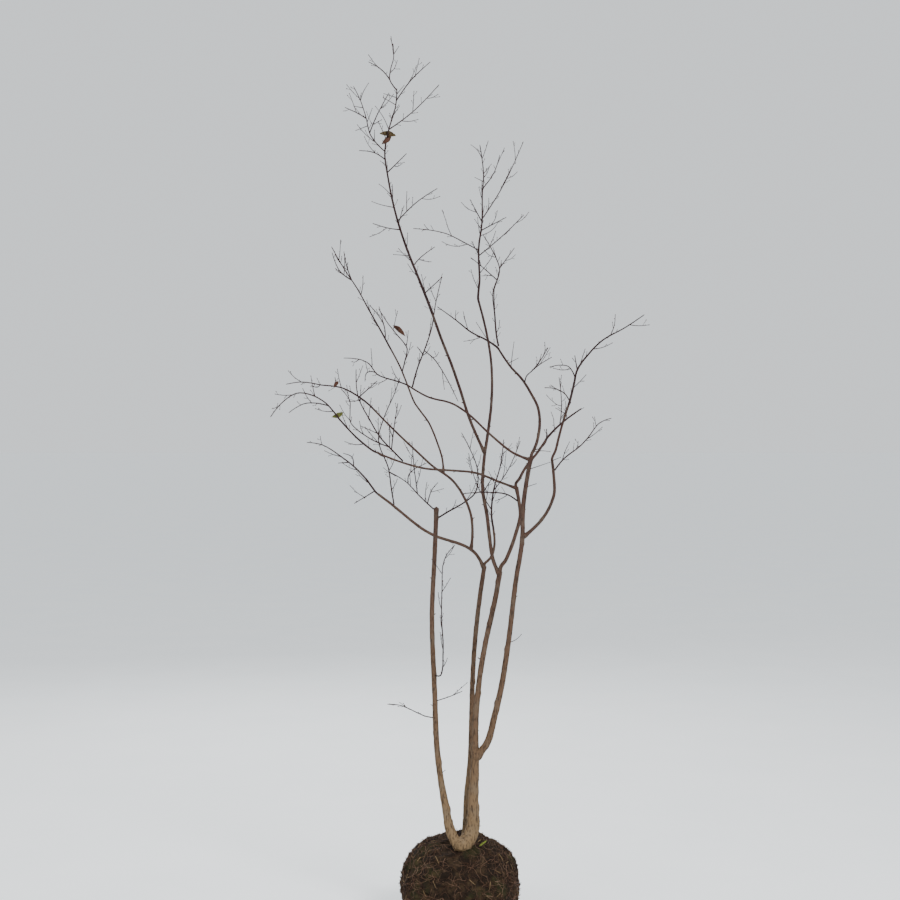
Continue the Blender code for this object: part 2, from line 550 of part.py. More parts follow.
def combine(obj, others, operation):
    """One Boolean with a collection of the others, applied, with the others then removed."""
    tools = collection("tools")
    for other in others:
        for home in other.users_collection:
            home.objects.unlink(other)
        tools.objects.link(other)
    modifier = obj.modifiers.new("combine", "BOOLEAN")
    modifier.operation = operation
    modifier.operand_type = "COLLECTION"
    modifier.collection = tools
    modifier.solver = "EXACT"
    graph = bpy.context.evaluated_depsgraph_get()
    mesh = bpy.data.meshes.new_from_object(obj.evaluated_get(graph))
    obj.modifiers.clear()
    old = obj.data
    obj.data = mesh
    bpy.data.meshes.remove(old)
    mesh.name = obj.name
    for other in others:
        bpy.data.objects.remove(other)
    bpy.data.collections.remove(tools)
    return obj


def keep_largest(obj):
    """Drops the loose scraps that a cut leaves beside the main body."""
    shape = bmesh.new()
    shape.from_mesh(obj.data)
    left = set(shape.verts)
    bodies = []
    while left:
        body = {left.pop()}
        edge = set(body)
        while edge:
            edge = {e.other_vert(v) for v in edge for e in v.link_edges} - body
            body |= edge
        left -= body
        bodies.append(body)
    largest = max(bodies, key=len)
    scraps = [vert for vert in shape.verts if vert not in largest]
    bmesh.ops.delete(shape, geom=scraps, context="VERTS")
    shape.to_mesh(obj.data)
    shape.free()


def shade(obj, material):
    obj.data.materials.clear()
    obj.data.materials.append(material)
    obj.data.shade_smooth()
    obj.data.set_sharp_from_angle(angle=math.radians(50))


def make_limbs(limbs, home, guides, bark):
    """Each limb as one tapering solid. A stem starts where the collar ends, and a limb that leaves
    another's side is cut to its surface, a gap away."""
    lines = {}
    for row in LIMBS:
        line = limbs[row.name]
        start = COLLAR[row.name] + GAP if row.name in COLLAR else 0
        lines[row.name] = line.part(start, line.length)
    for row in LIMBS:
        curve = tube_curve(row.name, lines[row.name], LIMB_SIDES, guides)
        obj = meshed([curve], home)[0]
        if row.foot:
            near = [row.on] + [
                other.name for other in LIMBS if other.on == row.on and not other.foot
            ]
            cutters = [
                tube_curve(f"room_{name}", lines[name], LIMB_SIDES, guides, GAP)
                for name in near
            ]
            combine(obj, meshed(cutters, guides), "DIFFERENCE")
            keep_largest(obj)
        shade(obj, bark)


def make_masses(shoots, twigs, home, guides, bark):
    """Each mass of twigs as one solid, its twigs fused to its stem by one union."""
    for mass in MASSES:
        stem, *leads = shoots[mass.name]
        curves = [tube_curve(mass.name, stem, SHOOT_SIDES, guides)]
        for line in (*leads, *twigs[mass.name]):
            curves.append(tube_curve(f"{mass.name}_twig", line, TWIG_SIDES, guides))
        first, *others = meshed(curves, home)
        if others:
            combine(first, others, "UNION")
        shade(first, bark)


def collar_parts(limbs, guides, extra):
    """The feet of the stems and the stump between them, which make up the root collar."""
    curves = [
        tube_curve(f"{name}_foot", limbs[name].part(0, length), LIMB_SIDES, guides, extra)
        for name, length in COLLAR.items()
    ]
    parts = meshed(curves, guides)
    mesh = bpy.data.meshes.new("knuckle")
    shape = bmesh.new()
    bmesh.ops.create_icosphere(
        shape, subdivisions=KNUCKLE_FINENESS, radius=KNUCKLE_RADIUS + extra
    )
    bmesh.ops.translate(shape, verts=shape.verts, vec=placed(KNUCKLE))
    shape.to_mesh(mesh)
    shape.free()
    knuckle = bpy.data.objects.new("knuckle", mesh)
    guides.objects.link(knuckle)
    return knuckle, parts


def make_collar(limbs, home, guides, bark):
    """The root collar: one solid that the three rooted stems rise from."""
    knuckle, feet = collar_parts(limbs, guides, 0.0)
    collar = combine(knuckle, feet, "UNION")
    guides.objects.unlink(collar)
    home.objects.link(collar)
    collar.name = "root_collar"
    collar.data.name = "root_collar"
    shade(collar, bark)


def make_root_ball(limbs, home, guides, soil):
    """The lumpy ball of soil and roots, flat underneath, with room for the collar in its top."""
    mesh = bpy.data.meshes.new("root_ball")
    shape = bmesh.new()
    bmesh.ops.create_icosphere(shape, subdivisions=BALL_FINENESS, radius=1)
    for vert in shape.verts:
        way = vert.co.normalized()
        rise = BALL_RISE if way.z > 0 else BALL_DROP
        place = Vector((BALL_RADIUS * way.x, BALL_RADIUS * way.y, BALL_MIDDLE + rise * way.z))
        place.y += BALL_LEAN * max(0, way.z)
        vert.co = place + way * BALL_LUMP * noise.noise(place / BALL_LUMP_SIZE)
    cut = bmesh.ops.bisect_plane(
        shape,
        geom=[*shape.verts, *shape.edges, *shape.faces],
        plane_co=(0, 0, 0),
        plane_no=(0, 0, 1),
        clear_inner=True,
    )
    rim = [part for part in cut["geom_cut"] if isinstance(part, bmesh.types.BMEdge)]
    bmesh.ops.edgeloop_fill(shape, edges=rim)
    bmesh.ops.recalc_face_normals(shape, faces=shape.faces)
    shape.to_mesh(mesh)
    shape.free()
    ball = bpy.data.objects.new("root_ball", mesh)
    home.objects.link(ball)
    knuckle, feet = collar_parts(limbs, guides, GAP)
    combine(ball, [knuckle, *feet], "DIFFERENCE")
    keep_largest(ball)
    shade(ball, soil)


def clear_scene():
    for obj in list(bpy.data.objects):
        bpy.data.objects.remove(obj)


def main():
    clear_scene()
    home = collection("bare_blueberry_shrub")
    guides = collection("guides")
    guides.hide_render = True
    old_bark = finish("old_bark", (0.115, 0.082, 0.055), 0.8)
    young_bark = finish("young_bark", (0.060, 0.030, 0.026), 0.6)
    soil = finish("root_soil", (0.022, 0.016, 0.009), 1.0)
    limbs, shoots, twigs = plant_lines()
    make_limbs(limbs, home, guides, old_bark)
    make_masses(shoots, twigs, home, guides, young_bark)
    make_collar(limbs, home, guides, old_bark)
    make_root_ball(limbs, home, guides, soil)


if __name__ == "__main__":
    main()
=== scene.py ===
"""Dresses the bare blueberry shrub: bark with its relief, fine twigs with buds, a few dried leaves
and a fibrous root ball, each piece where the frame's solids are.

Units are metres, +Z is up and the plant's front faces -Y. The limbs and masses are drawn by the same
marks, and the twigs by the same rule, as the solids that they replace, carried on to finer twigs.
"""

import functools
import itertools
import math
import random
from collections import namedtuple

import bmesh
import bpy
import numpy as np
from bpy.props import FloatProperty, FloatVectorProperty, IntProperty, PointerProperty
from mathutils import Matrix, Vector, noise


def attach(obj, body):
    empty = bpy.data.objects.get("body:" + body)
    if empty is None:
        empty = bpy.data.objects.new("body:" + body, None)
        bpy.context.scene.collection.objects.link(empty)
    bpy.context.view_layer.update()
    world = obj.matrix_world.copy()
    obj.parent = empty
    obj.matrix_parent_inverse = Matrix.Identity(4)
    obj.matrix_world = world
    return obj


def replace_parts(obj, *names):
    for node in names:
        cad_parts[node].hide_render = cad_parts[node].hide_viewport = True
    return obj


bl_info = {
    "name": "Bare blueberry shrub",
    "version": (1, 0, 0),
    "blender": (4, 5, 0),
    "location": "View3D > Sidebar > Shrub",
    "description": "Builds the bark, twigs, dried leaves and root ball of a leafless shrub",
    "category": "Add Mesh",
}

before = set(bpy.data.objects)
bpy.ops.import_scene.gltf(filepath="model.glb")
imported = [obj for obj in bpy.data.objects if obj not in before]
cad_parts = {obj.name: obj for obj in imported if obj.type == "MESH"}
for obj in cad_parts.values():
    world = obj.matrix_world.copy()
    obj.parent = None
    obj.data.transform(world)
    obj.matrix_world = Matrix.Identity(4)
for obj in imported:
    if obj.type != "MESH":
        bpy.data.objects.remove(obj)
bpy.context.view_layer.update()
BODY = "root"

# The point that the front view is seen from: moving a mark back keeps it on its line of sight.
EYE_SIDE = -0.025
EYE_DISTANCE = 3.66
EYE_HEIGHT = 1.18

GAP = 0.0003                # left between two solids that meet
MM = 0.001

BALL_RADIUS = 0.150
BALL_MIDDLE = 0.095         # height of its widest round
BALL_RISE = 0.120           # from there to its top
BALL_DROP = 0.130           # from there down to where it would close, below the flat cut
BALL_LEAN = 0.030           # how far its top lies behind its middle
BALL_LUMP = 0.007
BALL_LUMP_SIZE = 0.070

COLLAR = {"left_stem": 0.072, "middle_stem": 0.080, "back_stem": 0.066}  # of each stem's foot
KNUCKLE = (0.004, -0.066, 0.193)    # the rounded old stump at the collar's front
KNUCKLE_RADIUS = 0.0185

LIMB_STEP = 0.032           # between the rings of a limb
SHOOT_STEP = 0.030
TWIG_STEP = 0.024

LEAD_THICK = (2.6, 1.5)     # a leading shoot, at foot and tip, in millimetres
TWIG_THICK = (1.9, 1.1)
TWIG_EVERY = 0.050          # between the twigs of one shoot
TWIG_ANGLE = 50             # at which a twig leaves its shoot, in degrees
TWIG_RISE = 0.22            # how much each step of a twig turns upwards
TWIG_ROOM = 0.0015          # kept between a twig and all that isn't its own shoot
TWIG_ROOT = 0.009           # of a twig's foot lies too near its own shoot to be tested

Limb = namedtuple("Limb", "name on foot thick marks knob", defaults=(1.0,))
Mass = namedtuple("Mass", "name on foot thick marks leads spread seed", defaults=((), 0.07, 1))

# Limbs. `on` is the limb that each grows from and `foot` the (side, height) there, or None at its
# tip. `thick` is the diameter in millimetres at even shares of the length, and `knob` how much a
# tip swells.
LIMBS = (
    Limb("left_stem", None, None, (24, 15.5, 13.6, 12.6, 12, 11.8), (
        (-0.001, -0.050, 0.186), (-0.019, -0.040, 0.216), (-0.0375, -0.020, 0.296),
        (-0.054, 0.0, 0.399), (-0.064, 0.045, 0.591), (-0.070, 0.085, 0.779),
        (-0.064, 0.105, 0.904), (-0.059, 0.120, 1.034)), 1.2),
    Limb("middle_stem", None, None, (34, 25, 15.8, 13.8, 13.2, 12.8), (
        (0.006, -0.045, 0.189), (0.026, -0.035, 0.216), (0.0325, -0.030, 0.296),
        (0.0375, -0.025, 0.391), (0.040, -0.015, 0.516), (0.049, -0.008, 0.609),
        (0.065, 0.0, 0.704), (0.0875, 0.012, 0.804), (0.100, 0.020, 0.876))),
    Limb("back_stem", None, None, (18, 13.4, 12.8, 12.4, 12, 11.6), (
        (0.009, -0.030, 0.194), (0.014, -0.005, 0.224), (0.016, 0.010, 0.304),
        (0.025, 0.020, 0.399), (0.029, 0.035, 0.516), (0.0325, 0.050, 0.629),
        (0.0425, 0.075, 0.754), (0.061, 0.100, 0.889))),
    Limb("right_stem", "middle_stem", (0.041, 0.411), (18.5, 15, 13, 12, 11.2, 10.5), (
        (0.066, -0.030, 0.444), (0.084, -0.035, 0.504), (0.104, -0.042, 0.591),
        (0.121, -0.050, 0.699), (0.140, -0.058, 0.854), (0.156, -0.062, 0.959),
        (0.1575, -0.060, 1.029), (0.169, -0.055, 1.116), (0.1775, -0.050, 1.161)), 1.3),
    Limb("right_bough", "right_stem", (0.159, 0.961), (8.8, 7.8, 6.8), (
        (0.196, -0.085, 0.996), (0.221, -0.105, 1.031), (0.236, -0.120, 1.074),
        (0.235, -0.130, 1.109), (0.231, -0.140, 1.149))),
    Limb("right_bough_upper", "right_bough", None, (6.4, 5.4), (
        (0.239, -0.148, 1.179), (0.254, -0.162, 1.2375), (0.272, -0.178, 1.294))),
    Limb("inner_bough", "middle_stem", None, (10, 9.2, 8.6), (
        (0.114, 0.022, 0.904), (0.129, 0.024, 0.939), (0.141, 0.026, 0.976),
        (0.151, 0.028, 1.019), (0.1475, 0.032, 1.051), (0.141, 0.040, 1.086)), 1.3),
    Limb("inner_bough_upper", "inner_bough", None, (7.8, 6), (
        (0.149, 0.048, 1.109), (0.166, 0.055, 1.139), (0.194, 0.065, 1.174),
        (0.214, 0.078, 1.204))),
    Limb("long_left_bough", "inner_bough", (0.141, 1.084), (6.2, 5.4, 4.6), (
        (0.089, 0.015, 1.104), (0.046, -0.010, 1.121), (-0.024, -0.050, 1.129),
        (-0.089, -0.090, 1.134), (-0.154, -0.120, 1.152), (-0.209, -0.145, 1.174))),
    Limb("low_left_bough", "back_stem", (0.058, 0.884), (8.5, 7.5, 6.2), (
        (0.039, 0.095, 0.921), (0.014, 0.080, 0.939), (-0.029, 0.055, 0.954),
        (-0.064, 0.030, 0.966), (-0.099, 0.015, 0.986), (-0.131, 0.005, 1.011),
        (-0.171, 0.0, 1.044), (-0.204, 0.0, 1.069))),
    Limb("arching_bough", "low_left_bough", (0.030, 0.935), (7.2, 6.6, 6), (
        (0.031, 0.072, 0.966), (0.0275, 0.055, 1.0165), (0.009, 0.035, 1.064),
        (-0.021, 0.015, 1.106), (-0.056, 0.005, 1.131))),
    Limb("arching_bough_upper", "arching_bough", None, (5.6, 4.4), (
        (-0.104, -0.025, 1.1725), (-0.139, -0.045, 1.205), (-0.179, -0.070, 1.244),
        (-0.219, -0.095, 1.285))),
    Limb("left_leader", "arching_bough", (-0.039, 1.124), (4.8, 4.4, 4), (
        (-0.044, 0.0, 1.156), (-0.056, -0.015, 1.196), (-0.079, -0.030, 1.25),
        (-0.114, -0.045, 1.299), (-0.129, -0.055, 1.336), (-0.149, -0.065, 1.386),
        (-0.174, -0.075, 1.434))),
    Limb("middle_leader", "middle_stem", (0.0975, 0.868), (9.6, 9, 7.8, 6.4, 5.6), (
        (0.084, 0.030, 0.901), (0.075, 0.045, 0.954), (0.0675, 0.060, 1.016),
        (0.057, 0.070, 1.079), (0.060, 0.078, 1.154), (0.070, 0.085, 1.224),
        (0.079, 0.092, 1.304), (0.0775, 0.100, 1.404), (0.064, 0.105, 1.484),
        (0.0475, 0.110, 1.549))),
    Limb("tallest_leader", "middle_leader", (0.0605, 1.172), (7.6, 7.2, 6.6), (
        (0.046, 0.075, 1.206), (0.021, 0.065, 1.266), (0.001, 0.055, 1.329),
        (-0.024, 0.040, 1.401), (-0.044, 0.028, 1.451), (-0.069, 0.015, 1.521))),
    Limb("right_leader", "right_stem", None, (7.8, 7, 6.2, 5.2), (
        (0.191, -0.035, 1.196), (0.1995, -0.010, 1.249), (0.195, 0.015, 1.286),
        (0.179, 0.045, 1.319), (0.156, 0.080, 1.356), (0.126, 0.125, 1.389),
        (0.0975, 0.165, 1.431))),
    Limb("crossing_bough", "right_stem", (0.174, 1.156), (6.2, 5.2, 4.2), (
        (0.131, -0.055, 1.174), (0.096, -0.050, 1.201), (0.061, -0.040, 1.2325),
        (0.026, -0.025, 1.266), (-0.019, 0.0, 1.296), (-0.079, 0.025, 1.3125),
        (-0.126, 0.045, 1.339))),
    Limb("back_bough", "back_stem", None, (7.5, 5.8), (
        (0.079, 0.115, 0.914), (0.086, 0.135, 0.941), (0.084, 0.160, 0.979))),
)

# Masses of bare twigs. Each has one stem, drawn as a limb is, then its leading shoots. A lead is the
# (side, height) of its foot on the shoots before it, and one or more marks up to its tip.
MASSES = (
    Mass("right_tip_twigs", "right_bough_upper", None, (5, 1.8), (
        (0.286, -0.192, 1.349), (0.2925, -0.200, 1.378), (0.321, -0.215, 1.419),
        (0.356, -0.240, 1.454), (0.4125, -0.270, 1.486), (0.459, -0.300, 1.517)), (
        ((0.274, 1.303), (0.262, -0.190, 1.321), (0.214, -0.220, 1.336)),
        ((0.288, 1.36), (0.271, -0.170, 1.389), (0.226, -0.140, 1.388)),
        ((0.2925, 1.379), (0.2875, -0.215, 1.414))), 0.075, 3),
    Mass("right_side_twigs", "right_bough", (0.2345, 1.125), (3.4, 1.7), (
        (0.256, -0.120, 1.154), (0.305, -0.085, 1.194), (0.323, -0.070, 1.2145),
        (0.346, -0.050, 1.245), (0.377, -0.020, 1.259)), (), 0.06, 4),
    Mass("cut_bough_twigs", "inner_bough_upper", None, (5.4, 3.2), (
        (0.226, 0.090, 1.2195), (0.2645, 0.125, 1.2555), (0.303, 0.160, 1.283)), (
        ((0.216, 1.208), (0.217, 0.060, 1.231)),
        ((0.25, 1.242), (0.254, 0.190, 1.30), (0.248, 0.245, 1.36))), 0.09, 5),
    Mass("long_left_twigs", "long_left_bough", None, (4.2, 1.7), (
        (-0.249, -0.160, 1.2025), (-0.299, -0.185, 1.254), (-0.336, -0.205, 1.2975),
        (-0.376, -0.225, 1.319), (-0.406, -0.240, 1.3225), (-0.439, -0.255, 1.304),
        (-0.4725, -0.265, 1.265)), (
        ((-0.332, 1.29), (-0.389, -0.190, 1.296), (-0.426, -0.200, 1.275)),), 0.07, 6),
    Mass("long_left_rising_twigs", "long_left_bough", (-0.136, 1.149), (3.6, 1.7), (
        (-0.169, -0.135, 1.179), (-0.199, -0.145, 1.211), (-0.226, -0.155, 1.256),
        (-0.254, -0.165, 1.311), (-0.260, -0.170, 1.379)), (
        ((-0.170, 1.184), (-0.1625, -0.160, 1.254), (-0.156, -0.175, 1.294)),
        ((-0.181, 1.185), (-0.239, -0.175, 1.2175), (-0.274, -0.195, 1.25),
         (-0.276, -0.205, 1.304), (-0.296, -0.215, 1.331)),
        ((-0.254, 1.311), (-0.209, -0.140, 1.351))), 0.06, 7),
    Mass("low_left_twigs", "low_left_bough", None, (4.4, 1.7), (
        (-0.231, 0.005, 1.1025), (-0.264, 0.015, 1.1375), (-0.301, 0.025, 1.166),
        (-0.344, 0.040, 1.1925), (-0.381, 0.055, 1.199)), (
        ((-0.212, 1.078), (-0.2625, -0.020, 1.0475)),
        ((-0.265, 1.139), (-0.272, 0.030, 1.164), (-0.290, 0.035, 1.171)),
        ((-0.279, 1.1475), (-0.3025, 0.0, 1.1475))), 0.07, 8),
    Mass("low_left_rising_twigs", "low_left_bough", (-0.164, 1.039), (3.2, 1.7), (
        (-0.171, 0.020, 1.079), (-0.179, 0.050, 1.134), (-0.204, 0.080, 1.209),
        (-0.189, 0.095, 1.264), (-0.164, 0.115, 1.321), (-0.151, 0.125, 1.359)), (), 0.07, 9),
    Mass("arching_twigs", "arching_bough_upper", None, (4, 1.7), (
        (-0.256, -0.115, 1.315), (-0.294, -0.130, 1.335), (-0.346, -0.150, 1.3425),
        (-0.399, -0.165, 1.35), (-0.4325, -0.170, 1.345)), (
        ((-0.309, 1.34), (-0.3125, -0.120, 1.36)),), 0.07, 10),
    Mass("left_leader_twigs", "left_leader", None, (3.8, 1.7), (
        (-0.199, -0.085, 1.48), (-0.228, -0.095, 1.531), (-0.256, -0.105, 1.582),
        (-0.2915, -0.115, 1.636), (-0.320, -0.125, 1.686)), (
        ((-0.191, 1.456), (-0.191, -0.060, 1.494), (-0.225, -0.060, 1.541)),
        ((-0.273, 1.604), (-0.285, -0.090, 1.646), (-0.290, -0.080, 1.674)),
        ((-0.272, 1.603), (-0.303, -0.140, 1.631), (-0.319, -0.150, 1.671))), 0.06, 11),
    Mass("left_leader_side_twigs", "left_leader", (-0.144, 1.376), (2.8, 1.7), (
        (-0.1375, -0.090, 1.404), (-0.1325, -0.105, 1.434), (-0.154, -0.120, 1.464),
        (-0.179, -0.130, 1.495), (-0.202, -0.135, 1.531)), (), 0.06, 12),
    Mass("middle_leader_twigs", "middle_leader", None, (5.2, 2), (
        (0.049, 0.112, 1.604), (0.047, 0.115, 1.686), (0.055, 0.120, 1.749),
        (0.056, 0.125, 1.824), (0.059, 0.130, 1.8665), (0.055, 0.132, 1.909),
        (0.050, 0.135, 1.941)), (
        ((0.0575, 1.757), (0.101, 0.140, 1.829), (0.1575, 0.160, 1.949)),
        ((0.047, 1.666), (0.116, 0.080, 1.7245), (0.158, 0.060, 1.7665)),
        ((0.045, 1.68), (0.009, 0.070, 1.70), (-0.034, 0.040, 1.721), (-0.114, 0.020, 1.734)),
        ((0.059, 1.834), (0.0875, 0.170, 1.879), (0.099, 0.190, 1.916)),
        ((0.055, 1.75), (0.026, 0.160, 1.805)),
        ((0.053, 1.73), (0.1135, 0.100, 1.761))), 0.09, 13),
    Mass("tallest_leader_twigs", "tallest_leader", None, (6.2, 2.2), (
        (-0.100, 0.0, 1.601), (-0.132, -0.015, 1.681), (-0.1595, -0.030, 1.766),
        (-0.180, -0.040, 1.862), (-0.188, -0.045, 1.923), (-0.177, -0.050, 1.986),
        (-0.161, -0.055, 2.0405), (-0.158, -0.055, 2.082)), (
        ((-0.158, 2.08), (-0.1755, -0.060, 2.106), (-0.166, -0.060, 2.162),
         (-0.167, -0.060, 2.1925)),
        ((-0.174, 2.104), (-0.201, -0.030, 2.135), (-0.2265, -0.020, 2.15)),
        ((-0.158, 2.054), (-0.123, -0.080, 2.1045), (-0.0765, -0.100, 2.149)),
        ((-0.175, 1.981), (-0.120, -0.020, 2.0245), (-0.054, 0.0, 2.092)),
        ((-0.189, 1.926), (-0.225, -0.070, 1.9705), (-0.2345, -0.090, 2.009),
         (-0.249, -0.100, 2.054), (-0.265, -0.110, 2.087)),
        ((-0.2345, 2.009), (-0.26, -0.060, 2.0245), (-0.2855, -0.050, 2.036)),
        ((-0.223, 1.974), (-0.206, -0.120, 2.021), (-0.179, -0.150, 2.071)),
        ((-0.1515, 1.754), (-0.107, -0.050, 1.801), (-0.059, -0.070, 1.833)),
        ((-0.1755, 1.875), (-0.1355, -0.080, 1.92)),
        ((-0.189, 1.907), (-0.222, 0.0, 1.926), (-0.2505, 0.020, 1.929)),
        ((-0.152, 1.73), (-0.184, -0.060, 1.736), (-0.216, -0.080, 1.746)),
        ((-0.115, 1.642), (-0.096, 0.020, 1.664), (-0.0645, 0.040, 1.687)),
        ((-0.0875, 1.5725), (-0.046, -0.020, 1.611))), 0.085, 14),
    Mass("right_leader_twigs", "right_leader", None, (5, 1.8), (
        (0.076, 0.185, 1.449), (0.026, 0.225, 1.476), (-0.011, 0.260, 1.5055),
        (-0.0555, 0.290, 1.5375)), (), 0.09, 15),
    Mass("right_leader_rising_twigs", "right_leader", (0.100, 1.427), (4.4, 1.8), (
        (0.093, 0.175, 1.456), (0.087, 0.190, 1.518), (0.083, 0.200, 1.575),
        (0.099, 0.210, 1.6325), (0.081, 0.215, 1.679), (0.059, 0.220, 1.716)), (
        ((0.085, 1.608), (0.051, 0.250, 1.642), (0.029, 0.270, 1.66)),
        ((0.099, 1.6345), (0.135, 0.240, 1.684))), 0.09, 16),
    Mass("right_leader_side_twigs", "right_leader", (0.162, 1.348), (2.8, 1.7), (
        (0.166, 0.060, 1.364), (0.181, 0.045, 1.379), (0.201, 0.030, 1.404),
        (0.219, 0.020, 1.434)), (
        ((0.181, 1.38), (0.204, 0.070, 1.397), (0.2275, 0.080, 1.411)),), 0.05, 17),
    Mass("crossing_twigs", "crossing_bough", None, (3.6, 1.6), (
        (-0.164, 0.070, 1.354), (-0.209, 0.095, 1.371), (-0.226, 0.105, 1.394),
        (-0.289, 0.140, 1.41)), (
        ((-0.212, 1.373), (-0.234, 0.120, 1.3725), (-0.2375, 0.130, 1.354)),), 0.07, 18),
    Mass("crossing_rising_twigs", "crossing_bough", (-0.120, 1.334), (3.6, 1.7), (
        (-0.106, 0.065, 1.386), (-0.090, 0.080, 1.4275), (-0.070, 0.100, 1.489),
        (-0.062, 0.115, 1.541), (-0.046, 0.130, 1.611)), (
        ((-0.094, 1.43), (-0.066, 0.100, 1.409), (-0.044, 0.125, 1.3775),
         (-0.006, 0.150, 1.304)),
        ((-0.094, 1.42), (-0.106, 0.050, 1.437))), 0.07, 19),
    Mass("knob_left_twigs", "left_stem", (-0.060, 1.026), (3.4, 1.7), (
        (-0.079, 0.130, 1.044), (-0.106, 0.145, 1.07), (-0.130, 0.160, 1.096),
        (-0.174, 0.185, 1.124)), (
        ((-0.130, 1.096), (-0.1275, 0.190, 1.119), (-0.086, 0.230, 1.146)),
        ((-0.081, 1.046), (-0.071, 0.160, 1.079), (-0.056, 0.190, 1.0975)),
        ((-0.106, 1.07), (-0.115, 0.220, 1.14), (-0.120, 0.285, 1.20))), 0.08, 20),
    Mass("knob_right_twigs", "left_stem", (-0.059, 1.006), (4, 1.7), (
        (-0.031, 0.115, 1.025), (0.011, 0.105, 1.049), (0.036, 0.105, 1.07),
        (0.044, 0.115, 1.129), (0.026, 0.130, 1.18), (0.005, 0.145, 1.221)), (), 0.08, 21),
    Mass("inner_twigs", "inner_bough", (0.1475, 1.05), (3.6, 1.8), (
        (0.124, 0.020, 1.066), (0.071, -0.010, 1.074), (0.009, -0.030, 1.071)), (
        ((0.058, 1.073), (0.081, -0.050, 1.111)),), 0.07, 22),
    Mass("back_twigs", "back_bough", None, (5, 1.8), (
        (0.079, 0.190, 1.016), (0.084, 0.225, 1.079), (0.101, 0.260, 1.141),
        (0.109, 0.290, 1.204)), (
        ((0.080, 1.03), (0.040, 0.250, 1.10), (0.022, 0.290, 1.17)),
        ((0.084, 1.079), (0.120, 0.270, 1.13), (0.150, 0.300, 1.20))), 0.09, 23),
    Mass("left_stem_low_twigs", "left_stem", (-0.060, 0.509), (2.6, 1.6), (
        (-0.086, 0.020, 0.514), (-0.124, 0.010, 0.531), (-0.149, 0.0, 0.541),
        (-0.179, -0.010, 0.544)), (), 0.04, 24),
    Mass("left_stem_right_twigs", "left_stem", (-0.061, 0.551), (2.2, 1.5), (
        (-0.024, 0.020, 0.564), (0.004, 0.0, 0.576)), (), 0.04, 25),
    Mass("left_stem_shoot", "left_stem", (-0.060, 0.616), (3.2, 1.8), (
        (-0.049, 0.030, 0.616), (-0.0425, 0.020, 0.666), (-0.046, 0.022, 0.766),
        (-0.045, 0.026, 0.829), (-0.034, 0.030, 0.9165), (-0.014, 0.034, 0.941)), (), 0.04, 26),
)


def placed(mark):
    """Where a mark of the front view lies in space."""
    side, back, height = mark
    away = 1 + back / EYE_DISTANCE
    return Vector((
        EYE_SIDE + (side - EYE_SIDE) * away,
        back,
        EYE_HEIGHT + (height - EYE_HEIGHT) * away,
    ))


def seen(point):
    """The (side, height) at which the front view shows a point."""
    away = 1 + point.y / EYE_DISTANCE
    return (
        EYE_SIDE + (point.x - EYE_SIDE) / away,
        EYE_HEIGHT + (point.z - EYE_HEIGHT) / away,
    )


class Line:
    """A centre line with a radius at each of its points."""

    def __init__(self, points, radii):
        self.points = points
        self.radii = radii
        chords = [(b - a).length for a, b in zip(points, points[1:])]
        self.marks = [0.0, *itertools.accumulate(chords)]
        self.length = self.marks[-1]

    def at(self, distance):
        """The point and the radius this far along."""
        after = 1
        while after < len(self.points) - 1 and self.marks[after] < distance:
            after += 1
        start, end = self.marks[after - 1], self.marks[after]
        share = (distance - start) / (end - start)
        point = self.points[after - 1].lerp(self.points[after], share)
        radius = self.radii[after - 1] + (self.radii[after] - self.radii[after - 1]) * share
        return point, radius

    def heading(self, distance):
        """The way the line runs this far along."""
        reach = 0.5 * MM
        ahead = self.at(min(distance + reach, self.length))[0]
        return (ahead - self.at(max(distance - reach, 0))[0]).normalized()

    def part(self, start, end):
        """The stretch between two distances."""
        inner = [m for m in self.marks if start + MM < m < end - MM]
        stations = [self.at(distance) for distance in (start, *inner, end)]
        return Line([point for point, _ in stations], [radius for _, radius in stations])

    def nearest(self, foot):
        """How far along the front view shows this (side, height)."""
        steps = np.linspace(0, self.length, max(2, int(self.length / (2 * MM))))
        return min(steps, key=lambda d: math.dist(seen(self.at(d)[0]), foot))


def smooth(marks, step, heading=None):
    """Points no more than a step apart on the smooth curve through the marks, setting out along
    the heading where one is given."""
    chords = [(b - a).length for a, b in zip(marks, marks[1:])]
    slopes = [(b - a) / chord for a, b, chord in zip(marks, marks[1:], chords)]
    turns = [
        (slopes[i] * chords[i + 1] + slopes[i + 1] * chords[i]) / (chords[i] + chords[i + 1])
        for i in range(len(slopes) - 1)
    ]
    first = heading or (1.5 * slopes[0] - 0.5 * turns[0] if turns else slopes[0])
    last = 1.5 * slopes[-1] - 0.5 * turns[-1] if turns else slopes[-1]
    tangents = [first, *turns, last]
    points = []
    for i, chord in enumerate(chords):
        pieces = max(1, math.ceil(chord / step))
        for t in (k / pieces for k in range(pieces)):
            points.append(
                (1 + 2 * t) * (1 - t) ** 2 * marks[i]
                + t * (1 - t) ** 2 * chord * tangents[i]
                + t * t * (3 - 2 * t) * marks[i + 1]
                - t * t * (1 - t) * chord * tangents[i + 1]
            )
    return [*points, marks[-1].copy()]


def tapered(points, thick, knob=1.0):
    """A line through the points, with these diameters in millimetres at even shares of it."""
    line = Line(points, [0.0] * len(points))
    shares = np.linspace(0, 1, len(thick))
    swell = 1.2 * thick[-1] * MM
    for i, distance in enumerate(line.marks):
        radius = 0.5 * MM * float(np.interp(distance / line.length, shares, thick))
        bump = (knob - 1) * math.exp(-(((line.length - distance) / swell) ** 2))
        line.radii[i] = radius * (1 + bump)
    return line


